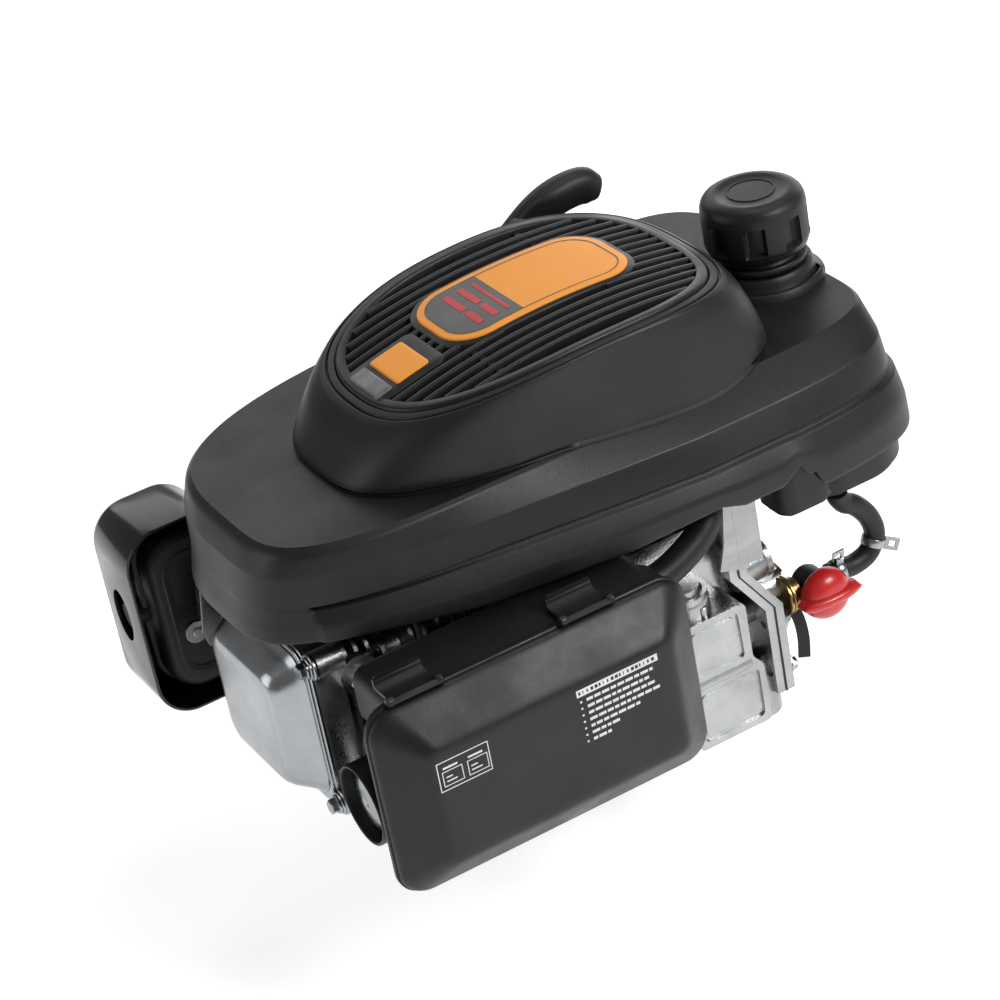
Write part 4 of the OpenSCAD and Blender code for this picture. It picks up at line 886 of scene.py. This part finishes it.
LATCH_HALF, PIN_Y = 14.6, -137.6
top = FZ + FH / 2
for name, body, x in (("latch_left", "left_latch", -170.0), ("latch_right", "right_latch", -62.0)):
    path = [(-117.2, 8.0), (-118.4, 8.2), (-119.4, 7.2), (-119.8, 4.6), (-121.2, 3.4), (-132, 3.4),
        (-137, 4.6), (-139, 5.2), (-140.4, 4.4), (-140.6, 2.4), (-139.2, 1.2), (-137, 1.6), (-132, 1.0),
        (-120, 0.8), (-118.4, 1.0), (-117.4, 2.2)]
    lo, hi = x - LATCH_HALF, x + LATCH_HALF
    rings = []
    for at, shrink in ((lo, 0.86), (lo + 0.8, 1), (hi - 0.8, 1), (hi, 0.86)):
        rings.append([(at, -129 + (y + 129) * (0.985 + 0.015 * shrink), top + 3 + (z - 3) * shrink)
            for y, z in path])
    hook = loft(rings)
    bead = lathe([(0, -17.2), (2.4, -17.2), (3.1, -16.4), (3.1, -13.6), (2.6, -12.6), (0, -12.6)], "x",
        (x, PIN_Y, top + 3.2), 20)
    other = lathe([(0, 12.6), (2.6, 12.6), (3.1, 13.6), (3.1, 16.4), (2.4, 17.2), (0, 17.2)], "x",
        (x, PIN_Y, top + 3.2), 20)
    back_lip = box([x - 13.6, x + 13.6], [-119.4, -118.0], [top + 3, top + 9.4])
    piece(name + "_shape", merged([hook, bead, other, back_lip]), body, PLASTIC, [name], sharp=40)

# Plain printed marks: an outlined box with two blank shapes, and a header bar above short lines
face = -159.92


def flat_mark(x0, x1, z0, z1, w=None):
    if w is None:
        return box([x0, x1], [face, face + 0.3], [z0, z1])
    outer = [(x0, z0), (x1, z0), (x1, z1), (x0, z1)]
    inner = [(x0 + w, z0 + w), (x1 - w, z0 + w), (x1 - w, z1 - w), (x0 + w, z1 - w)]
    rings = [[(x, y, z) for x, z in ring] for ring, y in ((outer, face + 0.3), (outer, face), (inner, face),
        (inner, face + 0.3))]
    return loft(rings, loop=True)


prints = [flat_mark(-176.5, -144.5, 112, 130.5, 0.55)]
for x in (-174, -158.5):
    prints += [flat_mark(x, x + 12.5, 114.5, 124, 0.5), flat_mark(x + 1, x + 10, 125.4, 126.6)]
    prints += [flat_mark(x + 2, x + 8.5, 117, 117.8), flat_mark(x + 2, x + 6, 119.6, 120.4)]
prints.append(flat_mark(-88, -36, 129.6, 134))
for k, length in enumerate((44, 41, 46, 47, 33, 19, 13)):
    z = 125.6 - 4.3 * k
    prints.append(flat_mark(-86.6, -85.4, z, z + 1.2))
    x = -82.5
    while x < -86 + length:
        word = 2.2 + 2.6 * abs(math.sin(12.9 * x + 7.7 * k))
        prints.append(flat_mark(x, min(x + word, -84 + length), z - 0.3, z + 1.5))
        x += word + 0.9
piece("filter_print", merged(prints), "filter_cover", PRINT)
notch = [flat_mark(-86.8 + 2.6 * k, -85.6 + 2.6 * k + 0.7 * math.sin(5 * k), 130.8, 132.8) for k in range(19)]
notch = moved(merged(notch), (0, -0.05, 0))
piece("filter_print_gaps", notch, "filter_cover", PLASTIC)

# ---------------------------------------------------------------- rocker cover

RY, RZ = 4.0, 101.0
RW, RH = 108, 104
EARS = [(RY + sy * 55, RZ + sz * 46) for sy in (-1, 1) for sz in (-1, 1)]


def rocker_at(inset):
    return oblong(RW - 2 * inset, RH - 2 * inset, max(4.5, 18 - inset * 0.35), 10)


rows = [(16, -190.6), (9, -190.6), (9, -191.4), (5.2, -193.2), (4.2, -194.8), (5.6, -196.2), (7.6, -198.6),
    (13.6, -209.4), (17.2, -213.1), (22, -214), (40, -214)]
rows = soften(rows, [0, 0.4, 0.4, 0.8, 0.8, 0.9, 1.6, 2.0, 2.0, 2.0, 0], 4)
inside = [(40, -212.4), (24, -212.4), (19.4, -211.8), (15.4, -208.4), (10.2, -198.4), (9.4, -191.2)]
shell = pillow(rocker_at, inside + rows[2:], "x", (0, RY, RZ))
fixed("rocker_lid", shell, PRESSED, ["rocker_cover"], sharp=55)

layers = []
for grow, x0, x1 in ((0.0, -191.2, -193.0), (-1.3, -193.0, -194.6)):
    hem = [oblong(RW + 2 * g, RH + 2 * g, r, 12) for g, r in ((grow, 15), (grow, 15), (grow - 0.5, 14.5),
        (-10, 8), (-10, 8))]
    rings = [[(x, y + RY, z + RZ) for y, z in ring] for ring, x in zip(hem,
        (x0, mix(x0, x1, 0.7), x1, x1, x0))]
    layers.append(loft(rings, loop=True))
    ear = [(0, x0), (8 + grow, x0), (8 + grow, mix(x0, x1, 0.7)), (7.5 + grow, x1), (0, x1)]
    layers += [lathe(ear, "x", (0, y, z), 36) for y, z in EARS]
fixed("rocker_flange", merged(layers), PRESSED, sharp=40)

bolts = []
for y in (-83.0, 83.0):
    bolts += [hex_bolt(2.6, 10, (x, y, z), (1, 0, 0)) for x, z in ((68, 126), (88, 62), (88, 28))]
for x in (-30, 10, 40):
    bolts += [hex_bolt(2.4, 8, (x, y, 6), (0, 0, -1)) for y in (-79, 79)]
bolts += [hex_bolt(2.7, 10, (-194.8, y, z), (-1, 0, 0)) for y, z in EARS]
fixed("flange_bolt_set", merged(bolts), ZINC, ["flange_bolts"], sharp=30)

# ---------------------------------------------------------------- muffler and its guard

GX, GZ = -202.0, 119.0
GW, GH = 66.0, 126.0
GY0, GY1 = 93.0, 146.0
OUTLET_Y = 119.5


def guard_at(inset):
    return oblong(GW - 2 * inset, GH - 2 * inset, max(1.0, 24 - inset), 14)


levels = [(32, GY1 - 0.2), (8, GY1 - 0.2), (3.4, GY1 - 0.8), (1, GY1 - 3), (0, GY1 - 6), (0, GY0 + 0.8),
    (0.1, GY0 + 0.25), (0.5, GY0), (1.5, GY0), (1.9, GY0 + 0.25), (2, GY0 + 0.8), (2, GY1 - 6),
    (3, GY1 - 3.4), (5.5, GY1 - 2.2), (14, GY1 - 2), (32, GY1 - 2)]
rings = [spin([(x, z, y) for x, z in guard_at(i)], "y") for i, y in levels]
wall = moved(loft(rings), (GX, 0, GZ))
hole = slab([(x * 11, y * 17.5) for x, y in round_ring(1, 64)], -12, 12, "x", (GX - GW / 2, OUTLET_Y, 121))
fixed("guard_sheet", carved(wall, [hole]), GLOSS, ["muffler_guard"], sharp=50)
can = [(20, GY0 + 2.6), (10, GY0 + 2), (4, GY0 + 2.2), (1.2, GY0 + 4.4), (0, GY0 + 8), (0, GY0 + 19.6),
    (-2.4, GY0 + 20.2), (-2.6, GY0 + 22), (0, GY0 + 22.6), (0, GY1 - 12), (1.4, GY1 - 8.6), (5, GY1 - 6.4),
    (20, GY1 - 6)]
can_at = lambda inset: oblong(48 - 2 * inset, 104 - 2 * inset, max(3.0, 20 - inset), 12)
body = pillow(can_at, can, "y", (GX + 4, 0, GZ))
dish = pillow(lambda inset: oblong(34 - 2 * inset, 84 - 2 * inset, max(2.0, 15 - inset), 10),
    [(6, GY0 + 4), (4.6, GY0 + 1.8), (1.2, GY0 + 1.2), (0.2, GY0 + 2.0), (0, GY0 + 4)], "y", (GX + 4, 0, GZ))
spout = lathe([(6, -30), (8, -30), (8, -17), (6, -17), (6, -30)], "x", (GX, OUTLET_Y, GZ), 32)
fixed("muffler_can", merged([body, dish, spout]), HEAT, ["muffler"], sharp=35)
# Bracket that carries the can, with its round lug
sheet = [(-197, 150), (-203.5, 112), (-200, 100), (-181, 95), (-176, 100), (-176, 150)]
plate = loft([[(x, y, z) for x, z in sheet] for y in (82.6, 84.4)])
fold = loft([[(x, y, z) for x, y, z in ((a, 78.5, h), (a - 1.6, 78.5, h), (a - 1.6, 84.4, h), (a, 84.4, h))]
    for a, h in ((-196.4, 150), (-202.6, 113))])
ear = lathe([(0, -2.4), (7, -2.4), (7, -1.8), (7, 0.6), (6.3, 1.2), (0, 1.2)], "y", (-206, 84.4, 113), 28)
dot = lathe([(0, -3.6), (2.4, -3.6), (2.8, -3.1), (2.8, -2.2), (0, -2.2)], "y", (-206, 84.4, 113), 20)
fixed("muffler_bracket", merged([plate, fold, ear, dot]), SHEET, bevel=0.3, sharp=50)

# ---------------------------------------------------------------- fuel line

hose_path = spline([(138, -82, 124), (138.4, -82, 121.5), (142, -82, 116), (149, -82, 111), (157, -82, 100),
    (160, -82, 87), (154, -82, 76), (143, -82, 72.5), (134, -82, 73.5), (124.8, -82, 74)], 10)
fixed("fuel_line", tube(hose_path, lambda s: 6.4 + 0.15 * ease(s, 0.9, 1), 28), RUBBER, ["fuel_hose"],
    sharp=60)


def clamp(point, along, out):
    """A sprung band with two crossing ears, the outer one with a square hole."""
    ring = lathe([(6.6, -2.6), (7.3, -2.6), (7.5, -2.3), (7.5, 2.3), (7.3, 2.6), (6.6, 2.6), (6.6, -2.6)],
        steps=40)
    ear = box([6.8, 16.5], [-0.6, 0.6], [-4, 4])
    hole = box([10, 14], [-2, 2], [-1.8, 1.8])
    near = box([6.8, 11], [1.4, 2.4], [-2.6, 2.6])
    part = merged([ring, carved(ear, [hole]), near])
    z = Vector(along).normalized()
    x = Vector(out) - z * z.dot(Vector(out))
    x.normalize()
    y = z.cross(x)
    return moved(turned(part, Matrix((x, y, z)).transposed()), point)


bands = [clamp((158.5, -82, 82), (0.45, 0, 0.9), (0.85, -0.3, -0.42)),
    clamp((131.5, -82, 73.6), (1, 0, 0.04), (0, -0.3, 1))]
fixed("hose_bands", merged(bands), ZINC, ["hose_clamps"], bevel=0.15, sharp=40)

TX, TY, TZ = 112.0, -82.0, 74.0
valve = [lathe([(5, -12), (7.6, -12), (8.6, -11), (9.6, -9.4), (10, -7), (10, 5), (9.2, 7), (7, 8), (0, 8)],
    "y", (TX, TY, TZ), 40), lathe([(0, -16), (8.4, -16), (9, -15.2), (9, -11.6), (8, -10.6), (5, -10),
    (5, 8.4), (5.6, 9), (5.6, 11), (5, 11.8), (0, 12)], "x", (TX, TY, TZ), 32)]
valve[0] = carved(valve[0], [lathe([(0, -13), (4.05, -13), (4.05, -3), (0, -3)], "y", (TX, TY, TZ), 32)])
valve += [lathe([(5.4, -18.6 + 2.4 * k), (11.6, -18.6 + 2.4 * k), (12, -18.2 + 2.4 * k),
    (12, -17.0 + 2.4 * k), (11.6, -16.6 + 2.4 * k), (5.4, -16.6 + 2.4 * k), (5.4, -18.6 + 2.4 * k)], "x",
    (TX, TY, TZ), 40) for k in (-1, 0)]
fixed("valve_body", merged(valve[1:]), BRASS, ["fuel_tap"], sharp=35)
fixed("valve_case", valve[0], PLASTIC, sharp=35)

KY = TY - 12.4
dome = [(0, -6), (4, -6), (4, -0.4)] + [(15, -0.4), (15.7, 0), (16, 1), (16, 3), (15.6, 5.2), (14.4, 7.6),
    (12.4, 9.8), (9.6, 11.4), (6, 12.5), (0, 12.8)]
dome = [(x, -z) for x, z in dome]
knob = lathe(dome, "y", (TX, KY, TZ), 64)
rings = []
for k in range(25):
    s = -1 + 2 * k / 24
    x = 20.4 * s
    w = 3.5 * (1 - 0.28 * abs(s) ** 3) * math.sqrt(max(0.02, 1 - abs(s) ** 12))
    top = 15.6 - 4.2 * abs(s) ** 2.2
    low = 3.4
    rings.append([(TX + x, KY - b, TZ + a) for a, b in ((-w, low), (-w, top - 3.2), (-w * 0.78, top - 1.2),
        (-w * 0.4, top - 0.2), (0, top), (w * 0.4, top - 0.2), (w * 0.78, top - 1.2), (w, top - 3.2),
        (w, low))])
bar = loft(rings)
piece("valve_knob", merged([knob, bar]), "tap_handle", RED, ["tap_knob"], sharp=50)
# Rubber strap that hangs from the valve
tail = strap(spline([(95, -86, 68), (97, -88.5, 58), (97.5, -89.5, 46), (96, -90, 33)], 8), 7.2, 1.6,
    (0.9, -0.43, 0))
fixed("valve_strap", tail, RUBBER, bevel=0.3, sharp=40)

breather = spline([(-8, -98, 134), (6, -98, 135), (20, -97, 139), (34, -95, 145), (44, -92, 152),
    (49, -87, 157), (50, -80, 159)], 10)
fixed("breather_pipe", tube(breather, 8.9, 28), RUBBER, ["breather_hose"], sharp=60)
lead = spline([(-142.8, -78, 132), (-136, -77, 136), (-131, -71, 148), (-129, -61, 161), (-125, -48, 173),
    (-117, -36, 181), (-108, -30, 184), (-100.4, -30, 184)], 10)
fixed("plug_lead", tube(lead, 3.5, 20), RUBBER, ["ignition_lead"], sharp=60)

# ---------------------------------------------------------------- choke cup

CY, CZ = -84.0, 71.0
cup = [(0, -176.4), (22.8, -176.4), (24, -177), (24.5, -178.4), (24.5, -192.6), (24.3, -193.6), (23.9, -194),
    (23.2, -194), (22.7, -193.6), (22.5, -192.8), (22.3, -180.4), (21.4, -180), (0, -180)]
fixed("choke_ring", lathe(cup, "x", (0, CY, CZ), 72), PLASTIC, ["choke_cup"], sharp=45)
lens = [(0, -180.4), (19, -180.4), (20.2, -181), (20.5, -183), (20.5, -184.6), (19.6, -186.2), (17.2, -187.8),
    (13, -189.2), (8, -190.0), (3.4, -190.5), (2.6, -190.3), (1.6, -189.3), (0.8, -189.0), (0, -189)]
fixed("choke_plate", lathe(lens, "x", (0, CY, CZ), 72), ZINC, ["choke_disc"], sharp=60)

# ---------------------------------------------------------------- castings

refine("crankcase", 0.9, angle=40)
refine("end_cover", 0.9, angle=40)
refine("sump", 0.8, angle=40)
refine("cylinder_head", 0.5, angle=40, segments=1)
refine("blower_housing", 0.4, angle=40, segments=1)
refine("carburettor", 0.5, angle=40)
refine("float_bowl", 0.6, angle=30)
refine("fuel_tank", 1.2, angle=30)
for node in ("control_plate", "throttle_lever", "choke_lever", "starter_pulley", "starter_cup", "flywheel",
        "cooling_fan", "intake_rocker", "exhaust_rocker", "crank_throw", "connecting_rod", "piston",
        "dipstick", "cap_seal", "spark_plug", "plug_boot", "ignition_coil", "exhaust_pipe", "crankshaft",
        "camshaft"):
    refine(node, 0.25, angle=40, segments=1)

# Panel beside the air cleaner: a raised frame round two sunk panels, with a step between them
PX0, PX1, PZ0, PZ1 = 9.0, 53.0, 17.0, 101.0
PY = -106.0
ROUND_STEPS = 5


def panel(points, r, y0, y1):
    """An upright plate between y0 and y1 whose outline has rounded corners."""
    ring = []
    n = len(points)
    for i, p in enumerate(points):
        a, b, c = Vector(points[i - 1]), Vector(p), Vector(points[(i + 1) % n])
        u, v = (a - b).normalized(), (c - b).normalized()
        d = min(r, (a - b).length * 0.45, (c - b).length * 0.45)
        for k in range(ROUND_STEPS + 1):
            s = k / ROUND_STEPS
            ring.append(tuple((b + u * d) * (1 - s) ** 2 + b * 2 * s * (1 - s) + (b + v * d) * s * s))
    return loft([[(x, y, z) for x, z in ring] for y in (y0, y1)])


outer = [(PX0, PZ0), (PX1 + 5.5, PZ0), (PX1 + 5.5, 56), (PX1 - 1, 63), (PX1 - 3, PZ1), (PX0, PZ1)]
high = [(PX0 + 3.6, 66), (PX1 - 6.2, 66), (PX1 - 7, PZ1 - 4), (PX0 + 3.6, PZ1 - 4)]
low = [(PX0 + 3.6, PZ0 + 4.5), (PX1 + 1.4, PZ0 + 4.5), (PX1 + 1.4, 54.5), (PX0 + 3.6, 54.5)]
frame_plate = carved(panel(outer, 3.5, PY + 1.5, PY - 1.9), [panel(high, 3.5, PY - 0.3, PY - 5),
    panel(low, 4.5, PY - 0.3, PY - 5)])
wedge = loft([[(x, PY - 1.0, 55.5), (x, PY - 2.9, 58.4), (x, PY - 2.9, 60.4), (x, PY - 1.0, 64.5)]
    for x in (PX0 + 1.5, PX1 - 2)])
shoulder = panel([(PX1 - 2, PZ0), (PX1 + 5.5, PZ0), (PX1 + 5.5, 56), (PX1 - 1, 63)], 3, PY + 20, PY + 1)
raised = panel([(p[0] + 2.4 * (1 if p[0] < 30 else -1), p[1] + 2.4 * (1 if p[1] < 80 else -1)) for p in high],
    2.6, PY + 0.5, PY - 0.9)
lower = panel([(p[0] + 2.4 * (1 if p[0] < 30 else -1), p[1] + 2.4 * (1 if p[1] < 40 else -1)) for p in low],
    3.2, PY + 0.5, PY - 0.9)
fixed("panel_casting", merged([frame_plate, wedge, shoulder, raised, lower]), CAST, bevel=0.5, sharp=40)

# Round housing on top of the panel box, with its bolt
hub = lathe([(0, 99), (16, 99), (16.6, 100), (16.6, 108), (15.8, 111.4), (13.4, 114), (9.6, 115.6),
    (9, 116.6), (7.4, 117.4), (0, 117.6)], centre=(22, -88, 0), steps=56)
lug = lathe([(0, 98), (6.2, 98), (6.2, 116), (5.4, 117), (3.6, 117), (3.4, 116), (0, 116)],
    centre=(13.5, -99.5, 0), steps=32)
screw = lathe([(0, 98), (3.4, 98), (3.4, 106.6), (2.8, 107.4), (1.8, 107.4), (1.6, 106.4), (0, 106.4)],
    centre=(27, -102, 0), steps=24)
fixed("housing_cap", merged([hub, lug, screw]), CAST, sharp=30)

# Screw bosses, ribs and the conical foot on the side of the end cover
boss = lathe([(0, 66), (12.5, 66), (12.2, 84), (11.2, 86.4), (9, 87), (7.6, 86.4), (7, 84.4), (0, 84.4)], "x",
    (0, -70, 97), 40)
head = carved(lathe([(0, 82), (5.2, 82), (5.4, 83), (5.4, 87.8), (4.6, 88.8), (0, 88.8)], "x", (0, -70, 97),
    32), [lathe([(0, 85.5), (2.5, 85.5), (2.5, 92), (0, 92)], "x", (0, -70, 97), 6)])
knuckle = [lathe([(0, 62), (6.5, 62), (6.5, 79), (5.4, 80.6), (3.4, 81), (0, 81)], "x", (0, y, z), 32)
    for y, z in ((-70, 66), (-64, 40), (-72, 120))]
ribs = [box([68, 92], [y - 1.6, y + 1.6], [z0, z1]) for y, z0, z1 in ((-56, 30, 78), (-46, 24, 74),
    (-30, 24, 78), (-18, 24, 80), (16, 24, 80), (30, 24, 78), (50, 24, 74))]
fixed("cover_bosses", merged([boss] + knuckle + ribs), CAST, bevel=0.6, sharp=42)
fixed("cover_screw", head, ZINC, bevel=0.2, sharp=35)
cones = []
profile = [(5.2, 8), (13, 8), (13.2, 12), (12.4, 20), (10.6, 30), (9.4, 36), (8.4, 37), (5.2, 37), (5.2, 8)]
BOLT_CIRCLE = 203.2
FOOT = BOLT_CIRCLE / 2 * math.cos(math.radians(45))
for sx in (-1, 1):
    for sy in (-1, 1):
        if sy < 0 or sx > 0:
            cones.append(lathe(profile, centre=(sx * FOOT, sy * FOOT, 0), steps=40))
fixed("foot_cones", merged(cones), CAST, sharp=30)

# Edge of the gasket where the crankcase meets the end cover
seam = [Vector((x, -87.4, z)) for x, z in ((62, 145), (62, 104), (82, 74), (82, 15))]
fixed("seam_line", strap(seam, 2.6, 0.9, (0, 1, 0)), RUBBER, sharp=40)

# Stay of pressed sheet between the end cover and the top cover, on the near side
stay = strap([Vector((66, -90.5, 172)), Vector((66, -90.5, 150)), Vector((63, -90.5, 128)),
    Vector((58, -90.5, 112))], 20, 1.8, (1, 0, 0))
fixed("cover_stay", stay, SHEET, bevel=0.3, sharp=50)

# ---------------------------------------------------------------- floor, light and camera

FLOOR_Z = -0.0506
floor_data = bpy.data.meshes.new("floor")
floor_data.from_pydata([(x, y, FLOOR_Z) for x, y in ((-6, -6), (6, -6), (6, 6), (-6, 6))], [], [(0, 1, 2, 3)])
paper = material("studio_floor", (0.80, 0.80, 0.80), 0.3, grain=0.0, mottle=0.01, mottle_scale=1.2,
    rough_range=0.03)
put(paper.node_tree.nodes["Principled BSDF"], {"Emission Color": (1, 1, 1, 1), "Emission Strength": 0.62})
floor_data.materials.append(paper)
floor = placed("floor", floor_data)

world = bpy.data.worlds.new("studio")
world.use_nodes = True
put(world.node_tree.nodes["Background"], {"Color": (1.0, 1.0, 1.0, 1), "Strength": 0.2})
bpy.context.scene.world = world


def soft_light(name, at, to, size, power):
    lamp = bpy.data.lights.new(name, "AREA")
    lamp.shape = "RECTANGLE"
    lamp.size, lamp.size_y = size
    lamp.energy = power
    obj = placed(name, lamp)
    obj.location = at
    obj.rotation_euler = (Vector(to) - Vector(at)).to_track_quat("-Z", "Y").to_euler()


soft_light("overhead", (0.5, 0.1, 1.7), (0, 0, 0.1), (1.0, 1.0), 6)
soft_light("left_wall", (-1.7, 0.5, 0.7), (0, 0, 0.1), (0.9, 1.0), 5)
soft_light("right_wall", (0.9, -1.5, 1.35), (0, 0, 0.1), (0.8, 0.7), 27)
soft_light("back_wall", (1.5, 1.3, 0.55), (0, 0, 0.15), (1.6, 0.9), 9)
soft_light("far_wall", (0.3, 1.7, 1.1), (0, 0, 0.15), (1.4, 0.9), 4.5)

# The camera looks down along the cylinder from the air cleaner's side, slightly rolled
FOCAL, DISTANCE = 118.8, 2.0
AIM = (0, 0.0788, 0.1122)
turn, tilt, roll = (math.radians(a) for a in (-24.7, 30.25, -11.25))
behind = Vector((math.sin(turn) * math.cos(tilt), -math.cos(turn) * math.cos(tilt), math.sin(tilt)))
level = Vector((math.cos(turn), math.sin(turn), 0))
upward = behind.cross(level)
right = level * math.cos(roll) + upward * math.sin(roll)
up = upward * math.cos(roll) - level * math.sin(roll)
optics = bpy.data.cameras.new("camera")
optics.lens = FOCAL
optics.sensor_width = 36
optics.clip_start, optics.clip_end = 0.05, 50
camera = placed("camera", optics)
spot = Vector(AIM) + behind * DISTANCE
camera.matrix_world = Matrix.Translation(spot) @ Matrix((right, up, behind)).transposed().to_4x4()
bpy.context.scene.camera = camera
bpy.context.scene.view_settings.view_transform = "Standard"
